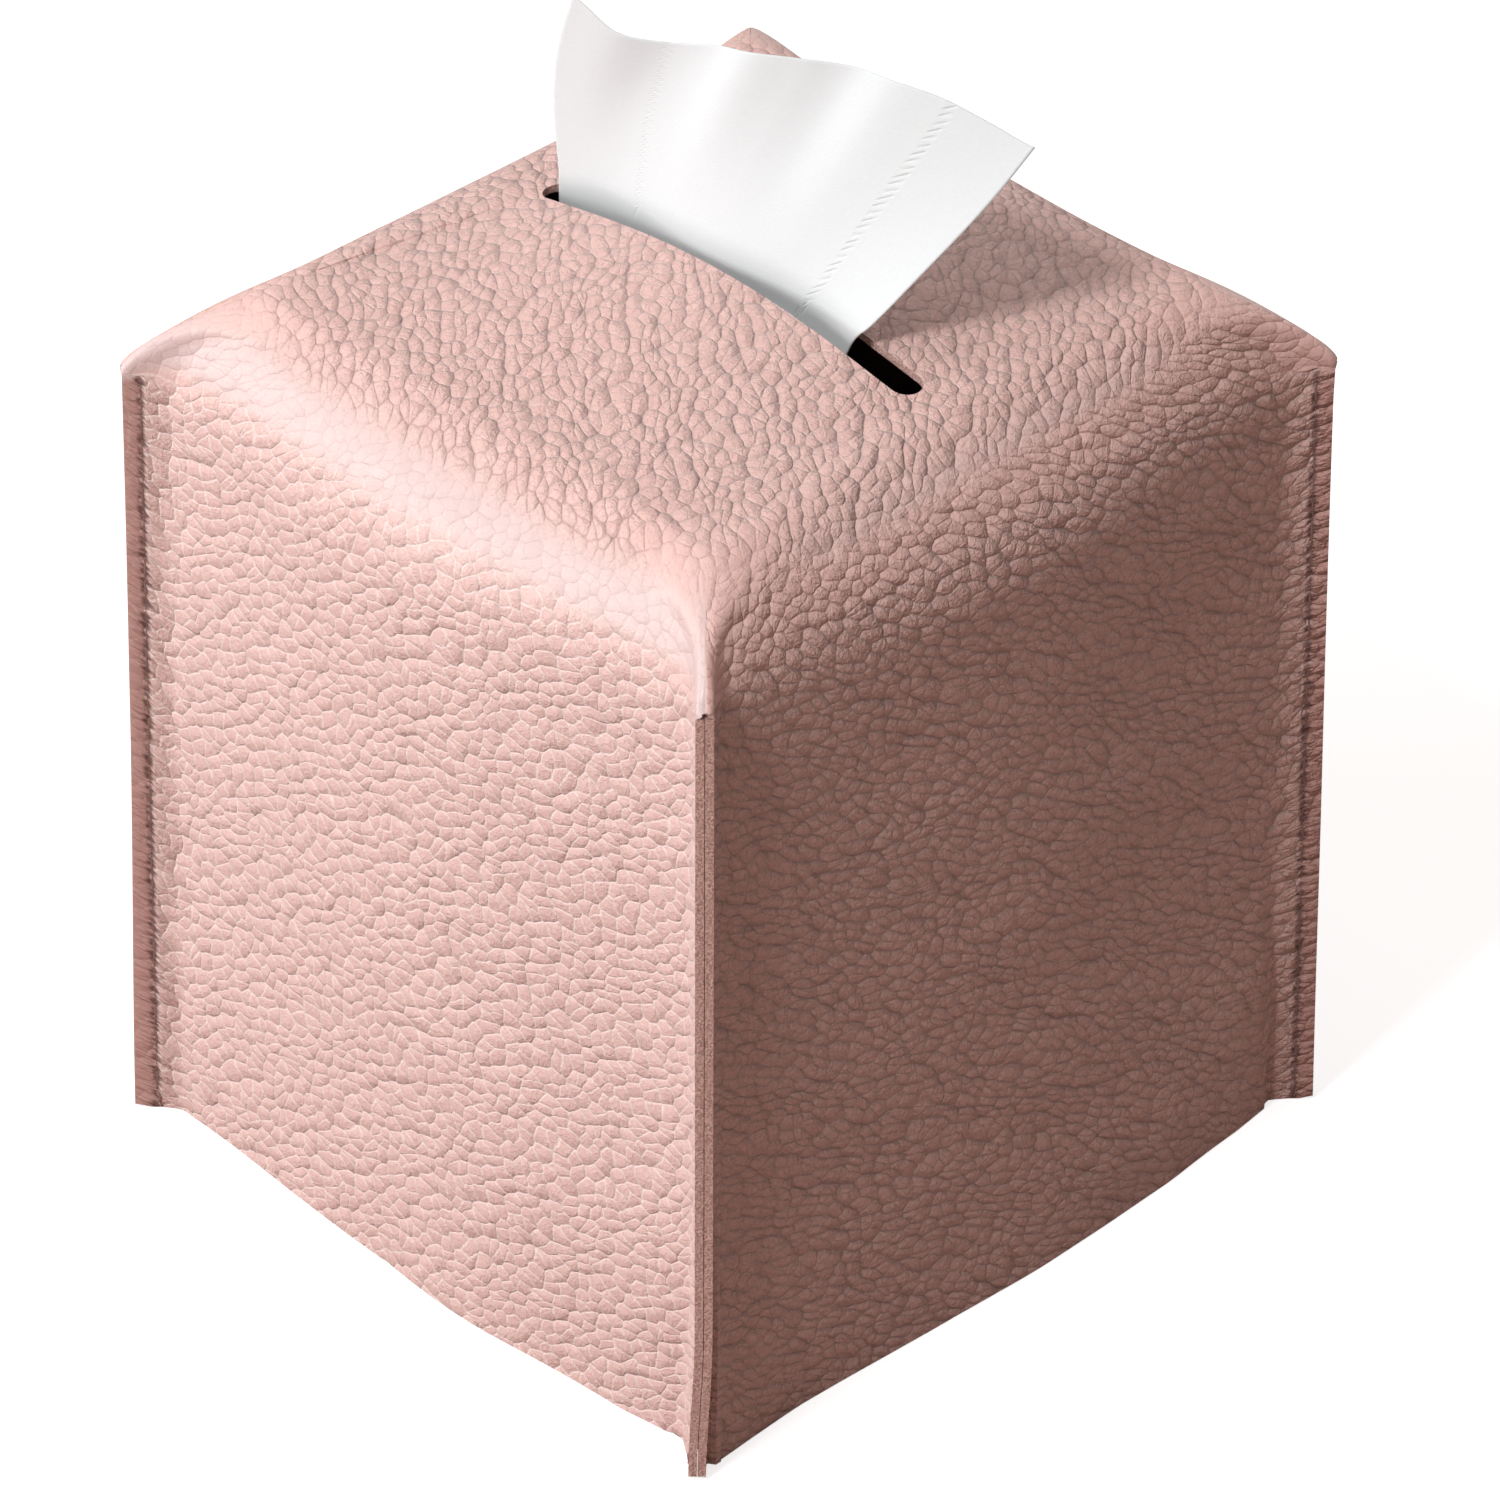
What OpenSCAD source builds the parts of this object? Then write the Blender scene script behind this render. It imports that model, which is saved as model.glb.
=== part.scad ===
// Soft tissue box cover, sewn from one cross-shaped sheet of leather.
// The cross folds down into a top and four walls. The edges of neighbouring
// walls are sewn wrong sides together, so each corner is a thin standing fin.
// Millimetres, +Z up, origin at the centre of the open bottom.

/* [Cover] */
// Width from seam edge to seam edge, along X
cover_w = 126; // [120:1:150]
// Depth from seam edge to seam edge, along Y
cover_d = 133; // [124:1:160]
// Height of the four corner seams
seam_h = 140; // [100:1:180]
// Rise of the soft top edge above the seams
rim_rise = 14; // [11:0.5:16]
// Depth below the seams' tops at which the middle of a wall starts to bend in
rim_drop = 9; // [4:0.5:16]
// Inward reach of the soft top edge at the middle of a wall
rim_reach = 20.5; // [16:0.5:21]
// Inward reach of the soft top edge along a corner's diagonal
corner_reach = 23; // [21:1:28]
// Rise of the middle of the top above its soft edge
dome_rise = 5; // [1:0.1:7]
// Outward swell of each wall between its corners
wall_bulge = 3.4; // [1:0.1:5]
// How far each wall leans out, from the seams' tops down to the hem
hem_lean = 1.7; // [0:0.1:3]

/* [Leather] */
// Thickness of the leather
leather_t = 1.3; // [1:0.05:1.6]
// Gap between the two layers of a corner fin
ply_gap = 0.1; // [0.06:0.02:0.2]
// Radius of the bend where a wall runs out into its fin
flare_r = 8; // [5:0.5:11]

/* [Stitching] */
// Distance from the cut edge of a fin to its stitches
seam_margin = 2.8; // [2:0.1:4]
// Length of one stitch
stitch_l = 4.4; // [3:0.1:6]
// Diameter of the sewing thread
thread_d = 0.5; // [0.35:0.05:0.6]
// Distance from the hem to the first needle hole
seam_start = 3; // [2:0.5:6]
// Distance from the last needle hole to the top of the seam
seam_stop = 2.5; // [2:0.5:6]

/* [Slot] */
// Distance from each end of the slot to the line of the seam edges beside it
slot_end_room = 23.3; // [23:0.1:35]
// Width of the slot, which has round ends
slot_w = 5.5; // [5:0.5:9]

/* [Tissue] */
// Highest point of the tissue above the top of the cover
tissue_h = 34.5; // [25:0.5:60]
// Length of tissue that hangs below the top of the cover
tissue_tail = 26; // [18:1:30]
// Free length of slot left of the tissue
slot_left_room = 2.5; // [2:0.5:8]
// Free length of slot right of the tissue
slot_right_room = 12; // [10:0.5:22]
// How far the upper left corner of the tissue lies right of its foot
left_lean = 4; // [0:1:12]
// How far the left side of the tissue bows out to the left
left_bow = 2.5; // [0:0.5:4]
// How far the upper right corner of the tissue lies right of its foot
right_lean = 15.5; // [8:0.5:30]
// How far the upper right corner of the tissue leans back
back_lean = 20; // [10:0.5:26]
// Thickness of the loose two-ply tissue
tissue_t = 0.4; // [0.3:0.05:0.5]
// Depth of the folds at the upper edge of the tissue
fold_depth = 1.8; // [1:0.1:4]
// Clearance between the tissue and the lips of the slot
tissue_clear = 0.5; // [0.35:0.05:0.8]

/* [Hidden] */

leather_colour = "#D9A7A1";
thread_colour = "#C9B4AE";
tissue_colour = "#F6F5F5";

// Steps of the leather's mesh: round the flare, along half a wall, up the walls'
// bend below the seams' tops, up the soft edge and over the top
flare_steps = 4;
wall_steps = 7;
arm_steps = 3;
rim_steps = 8;
dome_steps = 5;

half_w = cover_w / 2;
half_d = cover_d / 2;
diagonal = sqrt(1 / 2);
// From the plane of a seam to the middle of one layer, and to its outer face
ply_mid = (ply_gap + leather_t) / 2;
ply_face = ply_gap / 2 + leather_t;
// Radius of the flare at the middle of the leather
bend_r = flare_r + leather_t / 2;
// Start of the fold above a seam, inward and upward, in leather thicknesses
fold_start_shares = [0.35, 0.6];
// Power of the soft edge's curve: 2 is a quarter circle, 1 is a straight slope
wall_power = 2;
ridge_power = 1.3;
// Power of the dome's fall towards the soft edge
dome_power = 1.3;
// Columns of the mesh: from a tip to the middle of a wall, one wall, all round
half_n = flare_steps + 1 + wall_steps;
side_n = 2 * half_n + 1;
ring_n = 4 * (side_n + 1);
ring_count = rim_steps + dome_steps + 1;

// A place along half a wall is a number q: 0 at the seam edge, 1 at the stitches,
// 2 at the end of the flare and 3 at the middle of the wall.
function place(i) =
    i == 0 ? 0 : i <= flare_steps + 1 ? 1 + (i - 1) / flare_steps :
    2 + (i - flare_steps - 1) / wall_steps;
// Places between which the corner's own curve, and the height at which it starts, fade
power_fade = [0.7, 2.6];
drop_fade = [1, 2.9];
// How far the seam edge and the stitches lie, as shares of the way from the ridge to
// the end of the flare, and that way as a share of the way round a slot end
tip_share = 0.17;
stitch_share = 0.33;
flare_end_share = 0.46;

// Height of the middle of the leather on top, and of the slot's upper face
rim_z = seam_h + rim_rise - leather_t / 2;
slot_z = seam_h + rim_rise + dome_rise;

function half_along(side) = side % 2 == 0 ? half_w : half_d;
function half_out(side) = side % 2 == 0 ? half_d : half_w;
function unit(v) = v / norm(v);
// Smooth wave from 1 at x = 0 to 0 at x = 1, and the same between two places
function ease(x) = (1 + cos(180 * min(1, max(0, x)))) / 2;
function fade(q, span) = ease((q - span[0]) / (span[1] - span[0]));

// A wall's own plan has u along the wall and v outward; this turns it into x, y
function turned(side, p) =
    side == 0 ? [p[0], -p[1]] :
    side == 1 ? [p[1], p[0]] :
    side == 2 ? [-p[0], p[1]] : [-p[1], -p[0]];

// Centre of the flare's bend on a wall that ends at u = a, v = b
function flare_centre(a, b) =
    [a, b] - seam_margin * [diagonal, diagonal] + (ply_mid + bend_r) * [-diagonal, diagonal];
function flare_angle(q) = -45 * q;

// Outward lean of the walls at a height
function lean(z) = hem_lean * max(0, 1 - z / seam_h);

// Plan of half a wall at mid thickness
function wall_plan(q, a, b) =
    let (centre = flare_centre(a, b), u = centre[0] * (3 - q))
    q < 1 ? [a, b] + ply_mid * [-diagonal, diagonal] - q * seam_margin * [diagonal, diagonal] :
    q <= 2 ? centre + bend_r * [cos(flare_angle(q)), sin(flare_angle(q))] :
    [u, centre[1] - bend_r + wall_bulge * ease(u / centre[0])];

// Outward direction of that plan
function wall_normal(q, a, b) =
    let (slope = wall_bulge * PI / 2 / flare_centre(a, b)[0] * sin(180 * (3 - q)))
    q <= 1 ? [-diagonal, diagonal] :
    q <= 2 ? [-cos(flare_angle(q)), -sin(flare_angle(q))] :
    unit([slope, 1]);

// Share of the way from the ridge to the end of the flare
function corner_share(q) =
    q <= 1 ? tip_share + (stitch_share - tip_share) * q :
    stitch_share + (1 - stitch_share) * (q - 1);

// Inner end of the soft edge, at the same places
corner_inset = corner_reach * diagonal;
function rim_mid_v(a, b) = wall_plan(3, a, b)[1] - rim_reach;
function rim_plan(q, a, b) =
    let (a_in = a - corner_inset, b_in = b - corner_inset,
         flare_u = flare_centre(a, b)[0] * a_in / a,
         u = q <= 2 ? a_in - (a_in - flare_u) * corner_share(q) : flare_u * (3 - q))
    [u, b_in + (rim_mid_v(a, b) - b_in) * ease(u / a_in)];

// Edge of the slot, at the same places: the long edges belong to the front and back
// walls, the round ends to the other two
slot_l = cover_w - 2 * slot_end_room;
slot_r = slot_w / 2;
slot_straight = slot_l / 2 - slot_r;
function slot_plan(side, q) =
    let (turn = 45 + 45 * corner_share(q),
         end_share = q <= 2 ? flare_end_share * corner_share(q) :
             flare_end_share + (1 - flare_end_share) * (q - 2),
         end_turn = 45 * (1 - end_share))
    side % 2 == 1 ? [slot_r * sin(end_turn), slot_straight + slot_r * cos(end_turn)] :
    q <= 2 ? [slot_straight + slot_r * cos(turn), slot_r * sin(turn)] :
    [slot_straight * (3 - q), slot_r];

// Height of the middle of the leather at a place on top
function dome_fall(x, reach) = pow(max(0, 1 - pow(x / reach, 2)), dome_power);
function top_z(p) =
    rim_z + dome_rise * dome_fall(p[0], rim_mid_v(half_d, half_w))
                      * dome_fall(p[1], rim_mid_v(half_w, half_d));

// The soft edge leaves the wall upright and ends level with the top
function edge_power(q) = wall_power - (wall_power - ridge_power) * fade(q, power_fade);
function edge_start(q) = seam_h - rim_drop * (1 - fade(q, drop_fade));
function curve_in(angle, power) = 1 - pow(cos(angle), 2 / power);
function curve_up(angle, power) = pow(sin(angle), 2 / power);
// How far in the curve is at a share of its height
function in_at_height(up, power) = 1 - pow(1 - pow(max(0, up), power), 1 / power);
// The last steps cross the top towards the slot
function top_share(step) = (step - rim_steps) / dome_steps;
function raised(p, z) = [p[0], p[1], z];

// A column of a wall. Step 0 is at the height of the seams' tops, and steps below it
// are on the wall.
function wall_point(side, q, flip, step) =
    let (a = half_along(side), b = half_out(side),
         low_z = seam_h + rim_drop * step / arm_steps,
         foot = wall_plan(q, a + lean(low_z), b + lean(low_z)),
         rim = rim_plan(q, a, b), slot = slot_plan(side, q),
         power = edge_power(q), start = edge_start(q),
         top = top_z(turned(side, [flip * rim[0], rim[1]])),
         first = asin(pow((seam_h - start) / (top - start), power / 2)),
         angle = first + (90 - first) * step / rim_steps,
         flat = step < 0 ? foot + (rim - foot) * in_at_height((low_z - start) / (top - start), power) :
             step <= rim_steps ? foot + (rim - foot) * curve_in(angle, power) :
             rim + (slot - rim) * top_share(step),
         xy = turned(side, [flip * flat[0], flat[1]]))
    raised(xy, step < 0 ? low_z :
        step <= rim_steps ? start + (top - start) * curve_up(angle, power) : top_z(xy));

// The ridge that starts as a tight fold over a seam and runs up to the top
function ridge_point(side, step) =
    let (a = half_along(side), b = half_out(side), angle = 90 * step / rim_steps,
         start = fold_start_shares * leather_t,
         d = start[0] + (corner_reach - start[0]) * curve_in(angle, ridge_power),
         rim = [a - corner_inset, b - corner_inset],
         slot = side % 2 == 0 ?
             [slot_straight + slot_r * diagonal, slot_r * diagonal] :
             [slot_r * diagonal, slot_straight + slot_r * diagonal],
         rise = top_z(turned(side, rim)) - seam_h - start[1],
         xy = turned(side, step <= rim_steps ?
             [a - d * diagonal, b - d * diagonal] :
             rim + (slot - rim) * top_share(step)))
    raised(xy, step <= rim_steps ?
        seam_h + start[1] + rise * curve_up(angle, ridge_power) : top_z(xy));

// Place of a column j of a wall, counted from its left end
function column_place(j) = place(j <= half_n ? j : 2 * half_n - j);
function column_flip(j) = j <= half_n ? -1 : 1;
function wall_row(side, step) = [
    for (j = [0:side_n - 1]) wall_point(side, column_place(j), column_flip(j), step)];

function hem_point(side, j) =
    let (p = wall_plan(column_place(j), half_along(side) + lean(0), half_out(side) + lean(0)))
    raised(turned(side, [column_flip(j) * p[0], p[1]]), 0);

// All round at one step: each wall from its left end to its right, then a ridge
rings = [for (step = [0:ring_count - 1])
    [for (side = [0:3]) each concat(wall_row(side, step), [ridge_point(side, step)])]];
// The walls below the seams' tops, from the lowest step up to step 0
arms = [for (step = [-arm_steps:0]) [for (side = [0:3]) wall_row(side, step)]];

function plan_normal(side, j) =
    let (n = wall_normal(column_place(j), half_along(side), half_out(side)))
    raised(turned(side, [column_flip(j) * n[0], n[1]]), 0);
// Outward direction of the leather at a column of a ring, and of a row of a wall
function ring_normal(step, c) =
    let (along = rings[step][(c + 1) % ring_n] - rings[step][(c + ring_n - 1) % ring_n],
         upward = rings[min(step + 1, ring_count - 1)][c] - rings[max(step - 1, 0)][c])
    step == ring_count - 1 ? [0, 0, 1] : unit(cross(along, upward));
function arm_normal(row, side, j) =
    let (above = row < arm_steps ? arms[row + 1][side][j] : rings[1][side * (side_n + 1) + j])
    row == 0 || column_place(j) <= 1 ? plan_normal(side, j) :
    unit(cross(arms[row][side][j + 1] - arms[row][side][j - 1], above - arms[row - 1][side][j]));

// One face of the leather, moved out from its middle: the rings, the hem and the walls
function leather_face(shift) = concat(
    [for (step = [0:ring_count - 1], c = [0:ring_n - 1])
        let (side = floor(c / (side_n + 1)), j = c % (side_n + 1))
        rings[step][c] + shift * (step == 0 && j < side_n ?
            arm_normal(arm_steps, side, j) : ring_normal(step, c))],
    [for (side = [0:3], j = [0:side_n - 1])
        hem_point(side, j) + shift * plan_normal(side, j)],
    [for (row = [0:arm_steps - 1], side = [0:3], j = [0:side_n - 1])
        arms[row][side][j] + shift * arm_normal(row, side, j)]);

function quad(a, b, c, d) = [[a, b, c], [a, c, d]];
function joined(lists) = [for (list = lists, item = list) item];

module cover_panel() {
    inner = ring_count * ring_n + (arm_steps + 1) * 4 * side_n;
    // Point numbers on the outer face; the inner face follows with the same order
    function at(step, c) = step * ring_n + c % ring_n;
    function ring_at(side, j) = side * (side_n + 1) + j;
    // Row 0 is the hem, and the row after the last is the ring at the seams' tops
    function wall_at(row, side, j) =
        row > arm_steps ? ring_at(side, j) :
        ring_count * ring_n + (row * 4 + side) * side_n + j;
    last = side_n - 1;
    faces = joined(concat(
        [for (step = [0:ring_count - 2], c = [0:ring_n - 1]) joined([
            quad(at(step, c), at(step + 1, c), at(step + 1, c + 1), at(step, c + 1)),
            quad(inner + at(step, c), inner + at(step, c + 1),
                 inner + at(step + 1, c + 1), inner + at(step + 1, c))])],
        // Walls
        [for (row = [0:arm_steps], side = [0:3], j = [0:last - 1]) joined([
            quad(wall_at(row, side, j), wall_at(row + 1, side, j),
                 wall_at(row + 1, side, j + 1), wall_at(row, side, j + 1)),
            quad(inner + wall_at(row, side, j), inner + wall_at(row, side, j + 1),
                 inner + wall_at(row + 1, side, j + 1), inner + wall_at(row + 1, side, j))])],
        // Hem
        [for (side = [0:3], j = [0:last - 1])
            quad(wall_at(0, side, j), wall_at(0, side, j + 1),
                 inner + wall_at(0, side, j + 1), inner + wall_at(0, side, j))],
        // Cut edges of the two layers of each fin
        [for (row = [0:arm_steps], side = [0:3]) joined([
            quad(wall_at(row, side, last), wall_at(row + 1, side, last),
                 inner + wall_at(row + 1, side, last), inner + wall_at(row, side, last)),
            quad(inner + wall_at(row, side, 0), inner + wall_at(row + 1, side, 0),
                 wall_at(row + 1, side, 0), wall_at(row, side, 0))])],
        // The fold that joins the tops of those edges
        [for (side = [0:3])
            let (tip = ring_at(side, last), ridge = ring_at(side, side_n), next = at(0, ridge + 1))
            joined([
                quad(tip, ridge, inner + ridge, inner + tip),
                quad(ridge, next, inner + next, inner + ridge)])],
        // Cut edge of the slot
        [for (c = [0:ring_n - 1])
            let (step = ring_count - 1)
            quad(at(step, c + 1), at(step, c), inner + at(step, c), inner + at(step, c + 1))]));
    color(leather_colour)
        polyhedron(concat(leather_face(leather_t / 2), leather_face(-leather_t / 2)), faces);
}

// Needle holes of a seam: whole stitches of nearly stitch_l
seam_run = seam_h - seam_start - seam_stop;
stitch_count = round(seam_run / stitch_l);
stitch_step = seam_run / stitch_count;
// Half the distance between the two passes of a thread through one hole
hole_half = 0.7 * thread_d;
// Distances of a thread's middle from the plane of the seam: lying on the leather,
// pressed in by a part of its thickness, and down where the two threads lock
thread_sink_share = 0.2;
thread_out = ply_face + (0.5 - thread_sink_share) * thread_d;
thread_lock = 0.55 * thread_d;

// Path of a thread across and up the seam: out of a hole, up one stitch and in again
function thread_path() = concat(
    [[thread_lock, seam_start], [thread_out, seam_start]],
    [for (i = [1:stitch_count - 1])
        let (z = seam_start + i * stitch_step)
        each [[thread_out, z - hole_half], [thread_lock, z - hole_half],
              [thread_lock, z + hole_half], [thread_out, z + hole_half]]],
    [[thread_out, seam_h - seam_stop], [thread_lock, seam_h - seam_stop]]);

// Sideways direction of a flat path at point i, lengthened so that bends keep the width
function path_side(path, i) =
    let (before = unit(path[max(i, 1)] - path[max(i, 1) - 1]),
         after = unit(path[min(i, len(path) - 2) + 1] - path[min(i, len(path) - 2)]),
         a = [-before[1], before[0]], b = [-after[1], after[0]])
    (a + b) / (1 + a * b);

// A thread of four faces along the seam of one corner, on one side of its fin
module seam_thread(side, on_side) {
    path = thread_path();
    r = thread_d / 2;
    a = half_along(side);
    b = half_out(side);
    line = [a, b] - seam_margin * [diagonal, diagonal];
    // A place at distance n from the seam's plane, moved out along the fin by e
    function placed(n, e, z) = raised(turned(side, line + lean(z) * [1, 1]
        + on_side * n * [-diagonal, diagonal] + e * [diagonal, diagonal]), z);
    points = [for (i = [0:len(path) - 1], k = [0:3])
        let (m = path_side(path, i) * r * [1, 0, -1, 0][k], e = r * [0, 1, 0, -1][k])
        placed(path[i][0] + m[0], e * on_side, path[i][1] + m[1])];
    last = 4 * (len(path) - 1);
    faces = joined(concat(
        [for (i = [0:len(path) - 2], k = [0:3])
            quad(4 * i + k, 4 * i + (k + 1) % 4, 4 * i + 4 + (k + 1) % 4, 4 * i + 4 + k)],
        [quad(3, 2, 1, 0), quad(last, last + 1, last + 2, last + 3)]));
    color(thread_colour) polyhedron(points, faces);
}

// Tissue: one soft sheet that stands in the slot, fans out above it and has a tail
tissue_columns = 30;
tissue_rows = 17;
foot_left = -slot_l / 2 + slot_left_room;
foot_right = slot_l / 2 - slot_right_room;
// Sway of the sheet inside the slot
foot_sway = slot_w / 2 - tissue_clear - tissue_t / 2;
foot_waves = 1.5;
top_waves = 2.2;
// Height of the upper edge from left to right, as shares of the highest point
edge_height_shares = [0.93, 0.82, 0.82, 0.88, 0.94, 0.97, 0.985, 1, 0.985, 0.935, 0.885];

// Straight-line reading of a list at share s of its length
function read_shares(list, s) =
    let (x = s * (len(list) - 1), i = min(floor(x), len(list) - 2))
    list[i] + (list[i + 1] - list[i]) * (x - i);

// Place on the sheet: s from left to right, h from the slot (0) to the upper edge (1),
// or down the tail (-1)
function tissue_point(s, h) =
    let (foot_x = foot_left + (foot_right - foot_left) * s,
         edge_x = foot_left + left_lean + (foot_right + right_lean - foot_left - left_lean) * s,
         foot_y = foot_sway * sin(360 * foot_waves * s),
         edge_y = back_lean * s + fold_depth * sin(360 * top_waves * s),
         up = max(0, h), out = up * up * (3 - 2 * up))
    [foot_x + (edge_x - foot_x) * up - left_bow * (1 - s) * sin(180 * up),
     foot_y + (edge_y - foot_y) * out,
     slot_z + (h < 0 ? h * tissue_tail : h * tissue_h * read_shares(edge_height_shares, s))];

module tissue_sheet() {
    row_n = tissue_columns + 1;
    heights = concat([-1], [for (i = [0:tissue_rows]) i / tissue_rows]);
    rows = len(heights);
    function face(shift) = [for (h = heights, j = [0:tissue_columns])
        tissue_point(j / tissue_columns, h) + [0, shift, 0]];
    back = rows * row_n;
    function at(row, j) = row * row_n + j;
    faces = joined(concat(
        [for (row = [0:rows - 2], j = [0:tissue_columns - 1]) joined([
            quad(at(row, j), at(row + 1, j), at(row + 1, j + 1), at(row, j + 1)),
            quad(back + at(row, j), back + at(row, j + 1),
                 back + at(row + 1, j + 1), back + at(row + 1, j))])],
        [for (row = [0:rows - 2])
            let (last = tissue_columns)
            joined([
                quad(back + at(row, 0), back + at(row + 1, 0), at(row + 1, 0), at(row, 0)),
                quad(at(row, last), at(row + 1, last),
                     back + at(row + 1, last), back + at(row, last))])],
        [for (j = [0:tissue_columns - 1])
            let (top = rows - 1)
            joined([
                quad(at(0, j), at(0, j + 1), back + at(0, j + 1), back + at(0, j)),
                quad(at(top, j + 1), at(top, j), back + at(top, j), back + at(top, j + 1))])]));
    color(tissue_colour) polyhedron(concat(face(-tissue_t / 2), face(tissue_t / 2)), faces);
}

cover_panel();
seam_thread(0, 1);  // front_right_needle_thread
seam_thread(0, -1);  // front_right_bobbin_thread
seam_thread(1, 1);  // back_right_needle_thread
seam_thread(1, -1);  // back_right_bobbin_thread
seam_thread(2, 1);  // back_left_needle_thread
seam_thread(2, -1);  // back_left_bobbin_thread
seam_thread(3, 1);  // front_left_needle_thread
seam_thread(3, -1);  // front_left_bobbin_thread
tissue_sheet();
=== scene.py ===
"""Looks of a sewn leather tissue box cover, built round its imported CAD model."""
import math
from functools import partial
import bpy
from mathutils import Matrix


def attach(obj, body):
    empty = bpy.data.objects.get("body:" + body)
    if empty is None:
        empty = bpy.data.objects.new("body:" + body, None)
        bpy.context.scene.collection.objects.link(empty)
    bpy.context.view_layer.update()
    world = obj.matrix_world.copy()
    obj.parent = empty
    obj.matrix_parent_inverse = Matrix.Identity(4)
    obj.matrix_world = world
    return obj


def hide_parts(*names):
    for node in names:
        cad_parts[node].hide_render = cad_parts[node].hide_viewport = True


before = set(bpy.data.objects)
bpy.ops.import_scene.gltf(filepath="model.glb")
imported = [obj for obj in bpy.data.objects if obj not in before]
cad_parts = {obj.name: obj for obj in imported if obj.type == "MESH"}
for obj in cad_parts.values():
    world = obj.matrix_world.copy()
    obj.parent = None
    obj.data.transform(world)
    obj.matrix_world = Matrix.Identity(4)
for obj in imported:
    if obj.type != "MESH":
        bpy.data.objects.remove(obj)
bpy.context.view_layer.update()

from types import SimpleNamespace

import bmesh
import bpy
import numpy as np
from bpy.props import FloatProperty, FloatVectorProperty, IntProperty, PointerProperty
from mathutils import Matrix, Vector

bl_info = {
    "name": "Sewn Tissue Box Cover",
    "blender": (4, 5, 0),
    "version": (1, 0, 0),
    "location": "View3D > Sidebar > Box Cover",
    "description": "Builds a soft sewn leather tissue box cover with its seams and tissue",
    "category": "Add Mesh",
}

MM = 0.001
DIAGONAL = math.sqrt(0.5)
# The corner that follows each wall, counted anticlockwise from above
CORNERS = ("front_right", "back_right", "back_left", "front_left")

# Shares and powers of the cover's shape, as in its CAD model
FOLD_START = (0.35, 0.6)
WALL_POWER, RIDGE_POWER, DOME_POWER = 2.0, 1.3, 1.3
POWER_FADE, DROP_FADE = (0.7, 2.6), (1.0, 2.9)
TIP_SHARE, STITCH_SHARE, FLARE_END_SHARE = 0.17, 0.33, 0.46

# Rows of the mesh over the soft edge, from it to the slot and in each stitch; columns from a
# fin's edge to its stitches, round a flare and along half a wall, as shares or counts
RIM_ROWS, DOME_ROWS, STITCH_ROWS = 24, 16, 3
FIN_COLUMNS, FLARE_COLUMNS, WALL_COLUMNS = (0, 0.35, 0.7), 8, 24
# The back left corner of the top stands prouder: its width, and where it starts up the wall
LIFT_WIDTH, LIFT_SPAN = 24 * MM, (0.86, 1.04)
# Shares of the seams' height up to which there is some of the hem's wander, a fin's wider
# foot, its turn and the wider bend beside it
WANDER_H, SPREAD_H, TURN_H, WIDE_H = 0.45, 0.55, 0.2, 0.3
# Spans of q from the seam towards the wall: over the first two the wander and the unevenness
# start, over the others the waves of the cut edge, the foot's turn and the fin end
WANDER_Q, UNEVEN_Q = (1.0, 2.05), (1.2, 2.2)
EDGE_Q, TURN_Q, FOOT_Q, FIN_Q = (0, 0.9), (1, 2.2), (0, 0.8), (0.85, 1.05)
# Spans of t: the unevenness ends, the fold over a fin opens, its soft corner starts and ends
UNEVEN_T, FOLD_T, SOFT_START_T, SOFT_END_T = (1.2, 1.9), (0.1, 0.55), (0.12, 0.62), (1.4, 1.95)
# How far from a ridge the corner is softened: fully up to the first, not at all past the last
SOFT_SPAN = (24 * MM, 38 * MM)
# Distance between the walls' places on the flat sheet
WALLS_APART = 0.4
# Widths beside a ridge: of the grain's turn, of the raised wall grain and of the tight fold
TURN_WIDTH, CORNER_WIDTH, TIGHT_WIDTH = 14 * MM, 16 * MM, 4 * MM
# Lengths of the slow waves in soft leather, and the sum of their shares of the longest
WAVE_SIZES, WAVE_SUM = (55 * MM, 40 * MM, 28 * MM, 20 * MM), 2.6
# Depths of the leather's own waves and of the cut edge's two sets of waves
UNEVEN, EDGE_WAVE, EDGE_RIPPLE = 0.3 * MM, 0.16 * MM, 0.07 * MM
# How far the hem is cut unevenly, and how far a fin's foot is rounded off
HEM_CUT, FOOT_ROUND = 0.1 * MM, 0.6 * MM
# Distance from the stitches, in mm, over which they pull the leather in
PUCKER_WIDTH = 0.9
# Materials of the leather's mesh: its face, its cut edges and its back
FACE, CUT, BACK = 0, 1, 2

# Where the hem wanders from its plan: share of the wall's length, outward mm
HEM_WANDER = {
    0: ((0, -0.7), (0.1, -0.6), (0.25, 0), (0.35, -0.1), (0.47, -0.7), (0.57, 0.9),
        (0.64, 1.4), (0.71, 2.0), (0.78, 0.4), (0.85, -0.4), (0.92, 0.8), (1, 0.5)),
    1: ((0, -1.0), (0.06, -1.2), (0.12, -0.6), (0.19, 1.5), (0.26, 0.5), (0.32, -0.5),
        (0.45, -0.5), (0.55, 0.6), (0.65, 1.9), (0.72, 1.6), (0.785, 0), (0.85, -1.0),
        (0.92, -0.3), (1, -1.2)),
    2: ((0, 0.2), (0.3, -0.5), (0.6, 0.6), (0.8, 0.2), (1, -0.2)),
    3: ((0, -0.2), (0.25, 0.5), (0.5, 0.1), (0.75, -0.6), (1, 0.1)),
}
# Thread of one stitch: shares of its length, and of the way out to the leather's face
STITCH_SHAPE = ((0.0, 0.15), (0.05, 0.6), (0.13, 0.9), (0.25, 1), (0.5, 1.08), (0.75, 1),
                (0.87, 0.9), (0.95, 0.6), (1.0, 0.15))
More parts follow.
